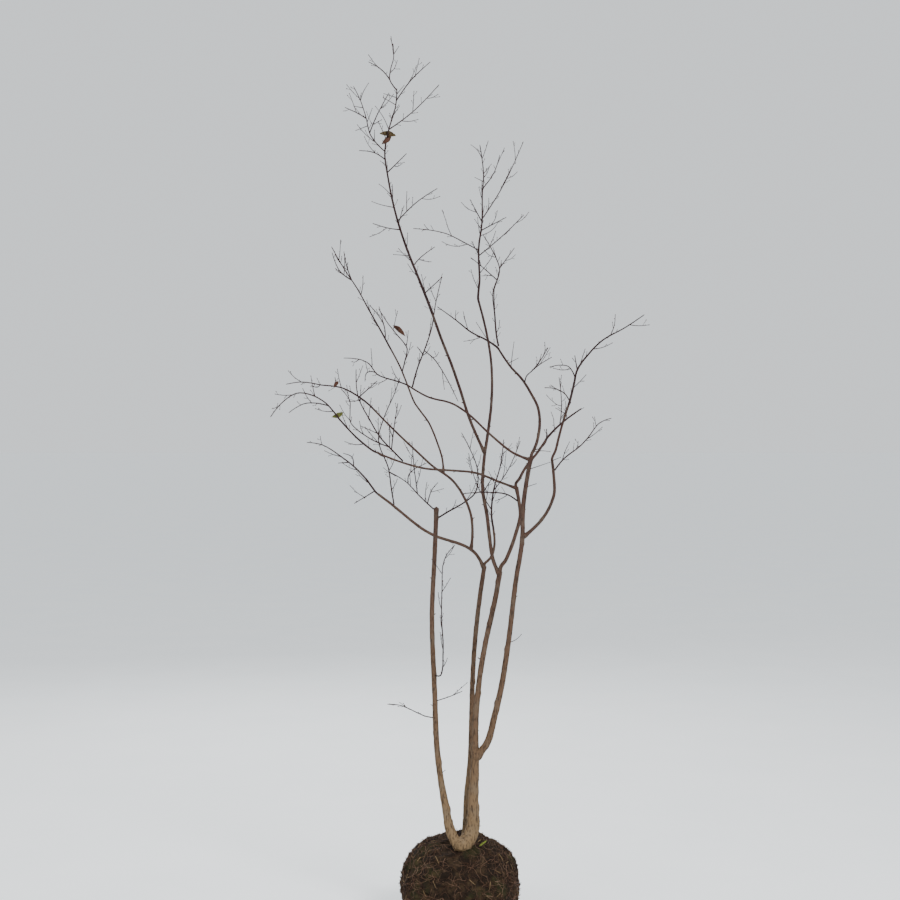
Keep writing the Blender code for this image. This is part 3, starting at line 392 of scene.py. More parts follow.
def drawn(row, lines, step):
    """The centre line of a limb, or of a mass's stem. At its parent's tip it carries on from the
    parent a gap away, and elsewhere it starts on the parent's own centre line."""
    marks = [placed(mark) for mark in row.marks]
    heading = None
    if row.on:
        parent = lines[row.on]
        if row.foot:
            start = parent.at(parent.nearest(row.foot))[0]
        else:
            heading = parent.heading(parent.length)
            start = parent.points[-1] + heading * GAP
        marks.insert(0, start)
    points = smooth(marks, step, heading)
    if heading:
        straight = min(row.thick[0] * MM, 0.4 * (points[1] - points[0]).length)
        points.insert(1, points[0] + heading * straight)
    return tapered(points, row.thick, getattr(row, "knob", 1.0))


def clear_start(line, parent, foot):
    """How far along a line its flat foot stands clear of the parent that it leaves."""
    lean = line.heading(0).angle(parent.heading(parent.nearest(foot)))
    lean = min(lean, math.pi - lean)
    own = line.radii[0]
    away = parent.at(parent.nearest(foot))[1] + GAP + own * math.cos(lean)
    return away / math.sin(lean)


class Crowd:
    """The stretches of limb and twig made so far, which a new twig has to keep clear of."""

    def __init__(self):
        self.rows = []

    def add(self, line):
        for a, b, radius in zip(line.points, line.points[1:], line.radii):
            self.rows.append((*a, *b, radius))

    def clears(self, line, after, room):
        """Whether the line, past its foot, has this much room all round it."""
        count = max(2, int((line.length - after) / (3 * MM)))
        probes = np.array([line.at(d)[0] for d in np.linspace(after, line.length, count)])
        rows = np.array(self.rows)
        start, along = rows[:, :3], rows[:, 3:6] - rows[:, :3]
        offset = probes[:, None, :] - start[None]
        share = (offset * along).sum(-1) / (along * along).sum(-1)
        foot = start + np.clip(share, 0, 1)[..., None] * along
        distance = np.linalg.norm(probes[:, None, :] - foot, axis=-1)
        return bool((distance > rows[:, 6] + line.radii[0] + room).all())


def lead_lines(mass, stem):
    """The mass's leading shoots, each starting on the shoots before it."""
    shoots = [stem]
    for foot, *marks in mass.leads:
        parent = min(
            shoots,
            key=lambda line: math.dist(seen(line.at(line.nearest(foot))[0]), foot),
        )
        start = parent.at(parent.nearest(foot))[0]
        points = smooth([start, *map(placed, marks)], SHOOT_STEP)
        shoots.append(tapered(points, LEAD_THICK))
    return shoots


def side_twigs(mass, shoots, crowd):
    """The twigs that a rule adds: they leave each shoot by turns to the back and to the front,
    shorter towards its tip, and turn upwards. One that would touch anything is skipped."""
    dice = random.Random(mass.seed)
    twigs = []
    for shoot in shoots:
        side = dice.choice((-1, 1))
        distance = TWIG_EVERY * dice.uniform(0.5, 1)
        while distance < shoot.length - 0.4 * TWIG_EVERY:
            start, radius = shoot.at(distance)
            along = shoot.heading(distance)
            reach = mass.spread * dice.uniform(0.5, 1) * (1 - 0.5 * distance / shoot.length)
            turn = math.radians(dice.uniform(-55, 55))
            across = along.cross(Vector((1, 0, 0))).normalized()
            other = along.cross(across)
            outwards = side * (math.cos(turn) * across + math.sin(turn) * other)
            lean = math.radians(TWIG_ANGLE * dice.uniform(0.85, 1.15))
            way = math.cos(lean) * along + math.sin(lean) * outwards
            points = [start]
            for _ in range(max(2, round(reach / TWIG_STEP))):
                way = (way + TWIG_RISE * Vector((0, 0, 1))).normalized()
                wander = Vector(dice.uniform(-0.12, 0.12) for _ in range(3))
                points.append(points[-1] + (way + wander).normalized() * TWIG_STEP)
            foot = min(TWIG_THICK[0], 1.5 * radius / MM)
            twig = tapered(points, (foot, TWIG_THICK[1]))
            if crowd.clears(twig, TWIG_ROOT, TWIG_ROOM):
                twigs.append(twig)
                crowd.add(twig)
            side = -side
            distance += TWIG_EVERY * dice.uniform(0.8, 1.2)
    return twigs


def plant_lines():
    """The centre lines of all limbs, and of each mass: its stem, leads and twigs."""
    limbs = {}
    for row in LIMBS:
        limbs[row.name] = drawn(row, limbs, LIMB_STEP)
    crowd = Crowd()
    for line in limbs.values():
        crowd.add(line)
    shoots = {}
    for mass in MASSES:
        stem = drawn(mass, limbs, SHOOT_STEP)
        if mass.foot:
            stem = stem.part(clear_start(stem, limbs[mass.on], mass.foot), stem.length)
        shoots[mass.name] = lead_lines(mass, stem)
        for line in shoots[mass.name]:
            crowd.add(line)
    twigs = {mass.name: side_twigs(mass, shoots[mass.name], crowd) for mass in MASSES}
    return limbs, shoots, twigs


GOLDEN_ANGLE = math.radians(137.5)  # between one bud and the next round a twig

# How finely the pieces are made: the distance between rings, and the faces round each.
BARK_RING = 0.003
SHOOT_RING = 0.005
SINGLE_RING = 0.004
ROOT_RING = 0.004
COLLAR_SIDES = 24
LEAD_SIDES = 9
TWIG_SIDES = 7
STRAW_SIDES = 6
FINE_SIDES = 5

# The dried leaves still on the twigs: (side, back, height) of the foot and tip, width, and finish.
DRIED_LEAVES = (
    ((-0.160, -0.042, 1.966), (-0.202, -0.050, 1.972), 0.020, "dried_olive"),
    ((-0.172, -0.046, 1.968), (-0.196, -0.052, 1.945), 0.014, "dried_brown"),
    ((-0.168, -0.112, 1.492), (-0.136, -0.122, 1.464), 0.016, "dried_brown"),
    ((-0.292, -0.180, 1.274), (-0.322, -0.190, 1.262), 0.014, "faded_green"),
    ((-0.304, -0.200, 1.352), (-0.316, -0.205, 1.338), 0.009, "dried_brown"),
)
# Single small twigs and broken stubs: (side, height) of the foot on its limb, then on to the tip.
SINGLE_TWIGS = (
    ((-0.169, 2.016), (-0.1525, 2.039)),
    ((-0.214, 1.954), (-0.214, 1.979)),
    ((-0.236, 1.989), (-0.259, 1.980)),
    ((-0.246, 2.034), (-0.264, 2.040)),
    ((-0.249, 2.054), (-0.244, 2.071), (-0.230, 2.096)),
    ((-0.184, 1.984), (-0.194, 2.016), (-0.211, 2.039)),
    ((-0.1575, 2.069), (-0.141, 2.091)),
    ((-0.161, 2.061), (-0.189, 2.071)),
    ((-0.164, 2.044), (-0.191, 2.061)),
    ((-0.166, 2.170), (-0.154, 2.188)),
    ((-0.176, 1.816), (-0.194, 1.839), (-0.201, 1.844)),
    ((-0.169, 1.786), (-0.199, 1.794), (-0.219, 1.801)),
    ((-0.131, 1.684), (-0.131, 1.721)),
    ((-0.129, 1.664), (-0.165, 1.669)),
    ((0.0525, 1.911), (0.040, 1.934), (0.029, 1.9425)),
    ((0.059, 1.871), (0.0775, 1.894)),
    ((0.056, 1.851), (0.039, 1.861)),
    ((0.055, 1.804), (0.0475, 1.836)),
    ((0.049, 1.734), (0.0375, 1.756)),
    ((0.053, 1.716), (0.081, 1.731), (0.096, 1.751)),
    ((0.096, 1.654), (0.0825, 1.686)),
    ((0.129, 1.389), (0.130, 1.411), (0.135, 1.449)),
    ((0.131, 1.404), (0.144, 1.409)),
    ((0.264, 1.271), (0.241, 1.284)),
    ((0.234, 1.154), (0.250, 1.161)),
    ((0.174, 1.086), (0.189, 1.095)),
    ((0.179, 1.130), (0.224, 1.149)),
    ((0.124, 0.696), (0.1425, 0.7075), (0.1525, 0.7175)),
    ((0.180, 1.174), (0.204, 1.178), (0.224, 1.176)),
    ((0.185, 1.181), (0.204, 1.186), (0.219, 1.214), (0.216, 1.229)),
    ((0.134, 1.096), (0.154, 1.121)),
    ((0.045, 0.418), (0.050, 0.436)),
    ((-0.046, 0.369), (-0.038, 0.378)),
)
SINGLE_THICK = (2.2, 1.2)   # at foot and tip, in millimetres
SINGLE_LEAN = 0.5           # how far one leans back or forward, for each part of its reach
# The small green leaf that lies on the root ball.
BALL_LEAF = ((0.048, -0.100, 0.188), (0.068, -0.108, 0.203), 0.012, "young_green")


@functools.cache
def plant():
    """The plant's centre lines, worked out once for all the operators."""
    return plant_lines()


def refined(line, step):
    """The same line as a smooth curve with closer points."""
    points = smooth(line.points, step)
    fine = Line(points, [0.0] * len(points))
    shares = np.array(fine.marks) / fine.length
    radii = np.interp(shares, np.array(line.marks) / line.length, line.radii)
    return Line(points, [float(radius) for radius in radii])


ROUNDED_FOOT = 0.5          # how far a tube's rounded ends reach, in radii
ROUNDED_TIP = 0.7
BUD_SHAPE = ((0.0, 0.20), (0.3, 0.30), (0.62, 0.24), (0.9, 0.08))  # place and radius, in lengths


class Shell:
    """The vertices and faces of one joined piece."""

    def __init__(self):
        self.verts = []
        self.faces = []

    def add(self, verts, faces):
        first = len(self.verts)
        self.verts.extend(verts)
        self.faces.extend(tuple(first + i for i in face) for face in faces)

    def take(self, shape):
        """Adds all of a bmesh, and frees it."""
        verts = [tuple(vert.co) for vert in shape.verts]
        faces = [tuple(vert.index for vert in face.verts) for face in shape.faces]
        shape.free()
        self.add(verts, faces)

    def tube(self, points, radii, sides, relief=None):
        """A closed tube with rounded ends. `relief` multiplies the radius, by ring and side."""
        spots = np.array([tuple(point) for point in points])
        ways = np.gradient(spots, axis=0)
        ways /= np.linalg.norm(ways, axis=1)[:, None]
        helper = np.eye(3)[int(np.argmin(np.abs(ways[0])))]
        side = np.cross(ways[0], helper)
        angles = np.linspace(0, math.tau, sides, endpoint=False)
        rings = []
        for i, (spot, way) in enumerate(zip(spots, ways)):
            side = side - way * side.dot(way)
            side /= np.linalg.norm(side)
            other = np.cross(way, side)
            reach = radii[i] * (relief[i] if relief is not None else np.ones(sides))
            ring = np.outer(np.cos(angles), side) + np.outer(np.sin(angles), other)
            rings.append(spot + ring * reach[:, None])
        verts = [tuple(corner) for ring in rings for corner in ring]
        faces = []
        for i in range(len(rings) - 1):
            low, high = i * sides, (i + 1) * sides
            for k in range(sides):
                after = (k + 1) % sides
                faces.append((low + k, low + after, high + after, high + k))
        foot, tip = len(verts), len(verts) + 1
        verts.append(tuple(spots[0] - ways[0] * radii[0] * ROUNDED_FOOT))
        verts.append(tuple(spots[-1] + ways[-1] * radii[-1] * ROUNDED_TIP))
        last = (len(rings) - 1) * sides
        for k in range(sides):
            after = (k + 1) % sides
            faces.append((foot, after, k))
            faces.append((tip, last + k, last + after))
        self.add(verts, faces)

    def bud(self, point, way, length):
        """A plump pointed bud that leans out along `way`."""
        points = [point + way * (length * share) for share, _ in BUD_SHAPE]
        self.tube(points, [length * radius for _, radius in BUD_SHAPE], FINE_SIDES)

    def piece(self, name, material, slot):
        """Makes the object, with its finish, and lets it ride on the plant."""
        mesh = bpy.data.meshes.new(name)
        mesh.from_pydata(self.verts, [], self.faces)
        mesh.validate()
        mesh.materials.append(material)
        mesh.shade_smooth()
        obj = bpy.data.objects.new(name, mesh)
        bpy.context.scene.collection.objects.link(obj)
        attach(obj, BODY)
        return obj


def across(way, turn):
    """A direction square to `way`, turned this far round it."""
    too_close = 0.8
    helper = Vector((1, 0, 0)) if abs(way.x) < too_close else Vector((0, 1, 0))
    first = way.cross(helper).normalized()
    return math.cos(turn) * first + math.sin(turn) * way.cross(first)


# The bark's relief. `around` and `along` say how closely a pattern repeats round a limb and along a
# metre of it, and `height` is how far it stands out, as a share of the relief's depth.
Pattern = namedtuple("Pattern", "around along height")
RIDGE = Pattern(3.0, 30, 1.3)
LUMP = Pattern(0.9, 42, 0.6)
GRAIN = Pattern(6.5, 190, 0.35)
BARK_LEVEL = 0.35           # where bark with no ridge, lump or grain lies, in the same shares
PATTERN_STARTS = 50         # the patterns of two limbs start up to this far apart

KNOT_EVERY = 0.070
FIRST_KNOT = (0.3, 0.8)     # from a limb's foot, in shares of KNOT_EVERY
NEXT_KNOT = (0.5, 1.4)
KNOT_END = 0.01             # kept free of knots at a limb's tip
KNOT_HEIGHT = 0.24          # in radii, as its length is
KNOT_LENGTH = 0.9
KNOT_WIDTH = 0.55           # in radians round the limb


def bark_noise(pattern, turn, distance, start):
    """A pattern's noise at this turn round a limb and distance along it."""
    side, front = math.cos(turn), math.sin(turn)
    up = pattern.along * distance + start
    return noise.noise(Vector((pattern.around * side, pattern.around * front, up)))


def bark_relief(line, sides, depth, dice):
    """How far the bark stands out, by ring and side, and the (distance, turn) of each knot."""
    turns = np.linspace(0, math.tau, sides, endpoint=False)
    start = dice.uniform(0, PATTERN_STARTS)
    rows = []
    for distance in line.marks:
        row = []
        for turn in turns:
            ridge = RIDGE.height * abs(bark_noise(RIDGE, turn, distance, start))
            lump = LUMP.height * bark_noise(LUMP, turn, distance, start)
            grain = GRAIN.height * bark_noise(GRAIN, turn, distance, start)
            row.append(1 + depth * (BARK_LEVEL - ridge + lump + grain))
        rows.append(row)
    relief = np.array(rows)
    knots = []
    spot = KNOT_EVERY * dice.uniform(*FIRST_KNOT)
    marks = np.array(line.marks)
    while spot < line.length - KNOT_END:
        turn = dice.uniform(0, math.tau)
        radius = line.at(spot)[1]
        near = np.exp(-(((marks - spot) / (KNOT_LENGTH * radius)) ** 2))
        apart = np.abs((turns - turn + math.pi) % math.tau - math.pi)
        relief += KNOT_HEIGHT * np.outer(near, np.exp(-((apart / KNOT_WIDTH) ** 2)))
        knots.append((spot, turn))
        spot += KNOT_EVERY * dice.uniform(*NEXT_KNOT)
    return relief, knots


# The finest twigs. A pair is the least and the most that the dice give.
FINE_SEED = 1000            # added to a mass's own
FIRST_FINE = (0.5, 1.1)     # from a shoot's foot, in shares of the spacing
NEXT_FINE = (0.6, 1.5)
FINE_END = 0.004            # kept bare at a shoot's tip
FINE_STRAY = 0.7            # from the side across from the last one, in radians
FINE_LEAN = 0.95            # sideways, for each part along the shoot
FINE_REACH = (0.35, 1)      # in shares of the longest
FINE_SHORTER = 0.45         # of its reach that is lost towards the shoot's tip
FINE_STEP = 0.009
FINE_ZIGZAG = 0.16
FINE_RISE = 0.12            # how much each step turns upwards
FINE_THICK = (1.5, 0.9)     # at foot and tip, in millimetres
FINE_FOOT = 1.5             # the most that it is thick at its foot, in the shoot's radii

FIRST_BUD = 0.008           # from a twig's foot
BUD_END = 0.002             # kept bare below the bud at the tip
NEXT_BUD = (0.7, 1.3)       # in shares of the spacing
BUD_LENGTHS = (0.7, 1.1)    # in shares of the usual length
BUD_LEAN = 0.8              # outwards, for each part along the twig
BUD_SEAT = 0.7              # how far out it sits, in the twig's radii
TIP_BUD = 1.25              # how much longer the bud at a tip is


def fine_growth(mass, shoots, sides, settings):
    """A mass's finest twigs, and the place, way and length of each of its buds."""
    dice = random.Random(FINE_SEED + mass.seed)
    fine = []
    for line in (*shoots, *sides):
        turn = dice.uniform(0, math.tau)
        distance = settings.every * dice.uniform(*FIRST_FINE)
        while distance < line.length - FINE_END:
            start, radius = line.at(distance)
            along = line.heading(distance)
            turn += math.pi + dice.uniform(-FINE_STRAY, FINE_STRAY)
            way = (along + FINE_LEAN * across(along, turn)).normalized()
            shorter = 1 - FINE_SHORTER * distance / line.length
            reach = settings.reach * dice.uniform(*FINE_REACH) * shorter
            points = [start]
            steps = max(2, round(reach / FINE_STEP))
            for k in range(steps):
                bend = across(way, k * math.pi + turn) * FINE_ZIGZAG
                way = (way + bend + Vector((0, 0, FINE_RISE))).normalized()
                points.append(points[-1] + way * (reach / steps))
            foot = min(FINE_THICK[0], FINE_FOOT * radius / MM)
            fine.append(tapered(points, (foot, FINE_THICK[1])))
            distance += settings.every * dice.uniform(*NEXT_FINE)
    buds = []
    for line in (*shoots, *sides, *fine):
        turn = dice.uniform(0, math.tau)
        distance = FIRST_BUD
        while distance < line.length - BUD_END:
            point, radius = line.at(distance)
            along = line.heading(distance)
            outwards = across(along, turn)
            way = (along + BUD_LEAN * outwards).normalized()
            length = settings.bud_length * dice.uniform(*BUD_LENGTHS)
            buds.append((point + outwards * radius * BUD_SEAT, way, length))
            turn += GOLDEN_ANGLE
            distance += settings.bud_every * dice.uniform(*NEXT_BUD)
        buds.append((line.points[-1], line.heading(line.length), settings.bud_length * TIP_BUD))
    return fine, buds


def single_twigs(limbs, shoots):
    """The single twigs, each at the depth of the limb or shoot that the front view shows it on."""
    hosts = [*limbs.values(), *(line for lines in shoots.values() for line in lines)]
    made = []
    for number, (foot, *marks) in enumerate(SINGLE_TWIGS):
        spots = [line.at(line.nearest(foot))[0] for line in hosts]
        start = min(spots, key=lambda spot: math.dist(seen(spot), foot))
        lean = SINGLE_LEAN if number % 2 else -SINGLE_LEAN
        points = [start]
        for side, height in marks:
            reach = math.dist((side, height), foot)
            points.append(placed((side, start.y + lean * reach, height)))
        made.append(tapered(smooth(points, SINGLE_RING), SINGLE_THICK))
    return made


# The soil's relief: the size and height of its clods, crumbs and grains.
CLOD_SIZE = 0.024
CLOD_HEIGHT = 0.0075
CLOD_START = Vector((7, 3, 1))
CRUMB_SIZE = 0.0085
CRUMB_HEIGHT = 0.0026
CRUMB_START = Vector((1, 9, 4))
GRIT_SIZE = 0.0034
GRIT_HEIGHT = 0.0012
SOIL_SUNK = 0.0024          # how far below the ball's surface the relief starts


def ball_surface(way):
    """The root ball's own outer surface in this direction from its middle."""
    rise = BALL_RISE if way.z > 0 else BALL_DROP
    place = Vector((BALL_RADIUS * way.x, BALL_RADIUS * way.y, BALL_MIDDLE + rise * way.z))
    place.y += BALL_LEAN * max(0, way.z)
    return place + way * BALL_LUMP * noise.noise(place / BALL_LUMP_SIZE)


def crumbly(way):
    """The soil's surface in this direction, with its clods, crumbs and grains."""
    place = ball_surface(way)
    clod = CLOD_HEIGHT * abs(noise.noise(place / CLOD_SIZE + CLOD_START))
    crumb = CRUMB_HEIGHT * noise.noise(place / CRUMB_SIZE + CRUMB_START)
    grit = GRIT_HEIGHT * noise.noise(place / GRIT_SIZE)
    place = place + way * (clod + crumb + grit - SOIL_SUNK)
    place.z = max(place.z, 0.0)
    return place


def random_way(dice, lowest):
    """A direction from the ball's middle that points no lower than this."""
    shortest = 0.2
    while True:
        way = Vector([dice.uniform(-1, 1) for _ in range(3)])
        if shortest < way.length < 1 and way.normalized().z > lowest:
            return way.normalized()


# What each node group puts out.
GROUP_OUTPUTS = {
    "Color": "NodeSocketColor",
    "Roughness": "NodeSocketFloat",
    "Height": "NodeSocketFloat",
}
FISSURES_RUN_UP = (1, 1, 0.22)      # draws the bark's fissures out along the wood
MATT_SPECULAR = 0.12
BUMP_STRENGTH = 0.6
LIMB_BUMP = 0.0008                  # how deep a finish's bump looks
FINE_BUMP = 0.0003
SOIL_BUMP = 0.0020
BARK_HEIGHTS = (0.20, 0.45, 0.95, 1.35, 1.75)   # of the bark's five colours, from foot to top

# The finishes of small things: the colours of the bark, its crevices and its painted sheen, and the
# scale.
SMALL_FINISHES = {
    "dried_olive": ((0.060, 0.042, 0.016), (0.014, 0.009, 0.004), (0.10, 0.075, 0.03), 300.0),
    "dried_brown": ((0.050, 0.020, 0.012), (0.012, 0.005, 0.003), (0.085, 0.040, 0.022), 300.0),
    "faded_green": ((0.075, 0.078, 0.016), (0.03, 0.03, 0.008), (0.12, 0.11, 0.03), 300.0),
    "young_green": ((0.14, 0.17, 0.025), (0.05, 0.07, 0.01), (0.22, 0.22, 0.06), 300.0),
    "bud_scales": ((0.030, 0.010, 0.009), (0.010, 0.004, 0.004), (0.055, 0.030, 0.024), 700.0),
    "pale_root": ((0.125, 0.070, 0.045), (0.04, 0.02, 0.012), (0.20, 0.13, 0.09), 500.0),
    "brown_root": ((0.042, 0.020, 0.012), (0.012, 0.007, 0.005), (0.08, 0.045, 0.026), 500.0),
    "dry_straw": ((0.15, 0.10, 0.05), (0.05, 0.03, 0.012), (0.24, 0.18, 0.10), 260.0),
}


def add_node(tree, kind, **settings):
    node = tree.nodes.new(kind)
    for key, value in settings.items():
        setattr(node, key, value)
    return node


def new_group(name, inputs):
    """A shader node group with these inputs and defaults, what goes in and out of it, and the
    object's own coordinates."""
    tree = bpy.data.node_groups.new(name, "ShaderNodeTree")
    for label, value in inputs.items():
        kind = "NodeSocketColor" if isinstance(value, tuple) else "NodeSocketFloat"
        socket = tree.interface.new_socket(label, in_out="INPUT", socket_type=kind)
        socket.default_value = value
    for label, kind in GROUP_OUTPUTS.items():
        tree.interface.new_socket(label, in_out="OUTPUT", socket_type=kind)
    inside = tree.nodes.new("NodeGroupInput").outputs
    outside = tree.nodes.new("NodeGroupOutput").inputs
    place = add_node(tree, "ShaderNodeTexCoord").outputs["Object"]
    return tree, inside, outside, place


def feed(tree, value, socket):
    """Links a socket's value to another, or sets a plain number or colour there."""
    if isinstance(value, (int, float)):
        socket.default_value = value
    elif isinstance(value, tuple):
        socket.default_value = (*value, 1)
    else:
        tree.links.new(value, socket)


def noise_node(tree, vector, scale, detail):
    node = add_node(tree, "ShaderNodeTexNoise")
    for value, label in ((vector, "Vector"), (scale, "Scale"), (detail, "Detail")):
        feed(tree, value, node.inputs[label])
    return node.outputs["Fac"]


def ranged(tree, value, low, high, to_low=0.0, to_high=1.0):
    """The value, with what lies from low to high spread from to_low to to_high."""
    node = add_node(tree, "ShaderNodeMapRange")
    for number, socket in zip((value, low, high, to_low, to_high), node.inputs):
        feed(tree, number, socket)
    return node.outputs["Result"]


def mixed(tree, share, first, second):
    """A colour mixed between two sockets or plain colours."""
    node = add_node(tree, "ShaderNodeMix", data_type="RGBA")
    factor, one, two = 0, 6, 7
    for value, place in ((share, factor), (first, one), (second, two)):
        feed(tree, value, node.inputs[place])
    return node.outputs[2]


def times(tree, first, second):
    node = add_node(tree, "ShaderNodeMath", operation="MULTIPLY")
    for value, socket in zip((first, second), node.inputs):
        feed(tree, value, socket)
    return node.outputs[0]


def bark_grain():
    """Bark's fine fissures, painted sheen in pale patches, and pale specks, as colour, roughness and
    height.
    """
    if "bark_grain" in bpy.data.node_groups:
        return bpy.data.node_groups["bark_grain"]
    inputs = {
        "Bark": (0.1, 0.07, 0.05, 1),
        "Crevice": (0.02, 0.014, 0.01, 1),
        # A pale colour that is painted in patches as the bark's sheen; the specks take it too.
        "Painted Sheen": (0.2, 0.2, 0.18, 1),
        "Scale": 260.0,
        "Painted Sheen Amount": 0.4,
    }
    tree, inside, outside, place = new_group("bark_grain", inputs)
    stretch = add_node(tree, "ShaderNodeMapping")
    stretch.inputs["Scale"].default_value = FISSURES_RUN_UP
    tree.links.new(place, stretch.inputs["Vector"])
    fissure = noise_node(tree, stretch.outputs["Vector"], scale=inside["Scale"], detail=6.0)
    # Pale patches where a sheen is painted into the colour.
    painted_sheen = ranged(tree, noise_node(tree, place, scale=34.0, detail=5.0), low=0.50, high=0.66)
    painted_sheen = times(tree, painted_sheen, inside["Painted Sheen Amount"])
    # Pale specks, in the colour of the painted sheen.
    speck = ranged(tree, noise_node(tree, place, scale=520.0, detail=2.0), low=0.62, high=0.70)
    crack = ranged(tree, fissure, low=0.50, high=0.36)
    crack_strength, speck_strength = 0.75, 0.22
    # The painted sheen is mixed over the bark's own colour.
    body = mixed(tree, painted_sheen, inside["Bark"], inside["Painted Sheen"])
    body = mixed(tree, times(tree, crack, crack_strength), body, inside["Crevice"])
    body = mixed(tree, times(tree, speck, speck_strength), body, inside["Painted Sheen"])
    roughness = ranged(tree, fissure, low=0.3, high=0.7, to_low=0.85, to_high=0.55)
    for value, label in zip((body, roughness, fissure), GROUP_OUTPUTS):
        tree.links.new(value, outside[label])
    return tree


def soil_crumb():
    """Damp soil's dark clods, paler dry crumbs and moss, as colour, roughness and height."""
    if "soil_crumb" in bpy.data.node_groups:
        return bpy.data.node_groups["soil_crumb"]
    inputs = {
        "Damp": (0.016, 0.010, 0.006, 1),
        "Dry": (0.06, 0.04, 0.022, 1),
        "Moss": (0.035, 0.045, 0.012, 1),
        "Moss Amount": 0.2,
    }
    tree, inside, outside, place = new_group("soil_crumb", inputs)
    crumb = noise_node(tree, place, scale=210.0, detail=8.0)
    dry = ranged(tree, noise_node(tree, place, scale=48.0, detail=8.0), low=0.48, high=0.68)
    moss = ranged(tree, noise_node(tree, place, scale=17.0, detail=6.0), low=0.56, high=0.64)
    body = mixed(tree, dry, inside["Damp"], inside["Dry"])
    body = mixed(tree, times(tree, moss, inside["Moss Amount"]), body, inside["Moss"])
    roughness = ranged(tree, crumb, low=0.3, high=0.7, to_low=1.0, to_high=0.8)
    for value, label in zip((body, roughness, crumb), GROUP_OUTPUTS):
        tree.links.new(value, outside[label])
    return tree


def coloured_by_height(tree, stages):
    """A colour that runs through the (height, colour) stages from foot to top."""
    place = add_node(tree, "ShaderNodeTexCoord").outputs["Object"]
    split = add_node(tree, "ShaderNodeSeparateXYZ")
    tree.links.new(place, split.inputs["Vector"])
    low, high = stages[0][0], stages[-1][0]
    ramp = add_node(tree, "ShaderNodeValToRGB")
    stops = ramp.color_ramp.elements
    while len(stops) < len(stages):
        stops.new(0.5)
    for stop, (height, colour) in zip(stops, stages):
        stop.position = (height - low) / (high - low)
        stop.color = (*colour, 1)
    tree.links.new(ranged(tree, split.outputs["Z"], low, high), ramp.inputs["Fac"])
    return ramp.outputs["Color"]


def finished(name, group, values, bump, stages=()):
    """A material whose colour, roughness and bump come from a group. `stages` are the (height,
    colour) that the bark's own colour runs through."""
    if name in bpy.data.materials:
        return bpy.data.materials[name]
    material = bpy.data.materials.new(name)
    material.use_nodes = True
    tree = material.node_tree
    shader = tree.nodes["Principled BSDF"]
    node = add_node(tree, "ShaderNodeGroup", node_tree=group)
    for label, value in values.items():
        feed(tree, value, node.inputs[label])
    if stages:
        tree.links.new(coloured_by_height(tree, stages), node.inputs["Bark"])
    raised = add_node(tree, "ShaderNodeBump")
    raised.inputs["Strength"].default_value = BUMP_STRENGTH
    raised.inputs["Distance"].default_value = bump
    tree.links.new(node.outputs["Height"], raised.inputs["Height"])
    tree.links.new(node.outputs["Color"], shader.inputs["Base Color"])
    tree.links.new(node.outputs["Roughness"], shader.inputs["Roughness"])
    tree.links.new(raised.outputs["Normal"], shader.inputs["Normal"])
    shader.inputs["Specular IOR Level"].default_value = MATT_SPECULAR
    return material


def limb_bark(settings):
    """The limbs' bark, pale brown at the foot and dark red at the top."""
    colours = (settings.foot, settings.lower, settings.middle, settings.upper, settings.top)
    # The pale colour is painted in patches as the limbs' sheen.
    values = {"Crevice": (0.018, 0.012, 0.009), "Painted Sheen": (0.105, 0.086, 0.062), "Painted Sheen Amount": 0.30}
    stages = [(height, tuple(colour)) for height, colour in zip(BARK_HEIGHTS, colours)]
    return finished("limb_bark", bark_grain(), values, LIMB_BUMP, stages)


def twig_bark(settings):
    """The twigs' thin dark red bark."""
    values = {
        "Bark": tuple(settings.twig),
        "Crevice": (0.010, 0.006, 0.006),
        # The pale colour that is painted in patches as the twigs' sheen.
        "Painted Sheen": (0.050, 0.036, 0.034),
        "Painted Sheen Amount": 0.22,
        "Scale": 420.0,
    }
    return finished("twig_bark", bark_grain(), values, FINE_BUMP)


def small_finish(name):
    """A bark-like finish for a small thing: a bud, a root, a straw or a leaf."""
    # The third colour is painted in pale patches as a sheen.
    bark, crevice, painted_sheen, scale = SMALL_FINISHES[name]
    values = {"Bark": bark, "Crevice": crevice, "Painted Sheen": painted_sheen, "Scale": scale, "Painted Sheen Amount": 0.5}
    return finished(name, bark_grain(), values, FINE_BUMP)


def damp_soil(settings):
    """The root ball's dark soil."""
    values = {"Damp": tuple(settings.damp), "Dry": tuple(settings.dry)}
    return finished("damp_soil", soil_crumb(), values, SOIL_BUMP)


class ShrubBark(bpy.types.PropertyGroup):
    """Sizes and colours of the bark."""

    sides: IntProperty(name="Sides", description="Faces round a limb", default=20, min=8, max=48)
    relief: FloatProperty(
        name="Relief", description="Depth of the ridges, as a share of the radius", default=0.11,
        min=0, max=0.5, subtype="FACTOR",
    )
    foot: FloatVectorProperty(
        name="Foot", description="Bark at the collar", default=(0.150, 0.098, 0.050), size=3,
        subtype="COLOR", min=0, max=1,
    )
    lower: FloatVectorProperty(
        name="Lower", description="Bark of the lower stems", default=(0.088, 0.052, 0.029), size=3,
        subtype="COLOR", min=0, max=1,
    )
    middle: FloatVectorProperty(
        name="Middle", description="Bark of the upper stems", default=(0.056, 0.030, 0.021), size=3,
        subtype="COLOR", min=0, max=1,
    )
    upper: FloatVectorProperty(
        name="Upper", description="Bark of the boughs", default=(0.030, 0.0125, 0.0105), size=3,
        subtype="COLOR", min=0, max=1,
    )
    top: FloatVectorProperty(
        name="Top", description="Bark of the highest limbs", default=(0.013, 0.006, 0.006), size=3,
        subtype="COLOR", min=0, max=1,
    )
    twig: FloatVectorProperty(
        name="Twig", description="Bark of the twigs", default=(0.020, 0.0075, 0.0070), size=3,
        subtype="COLOR", min=0, max=1,
    )


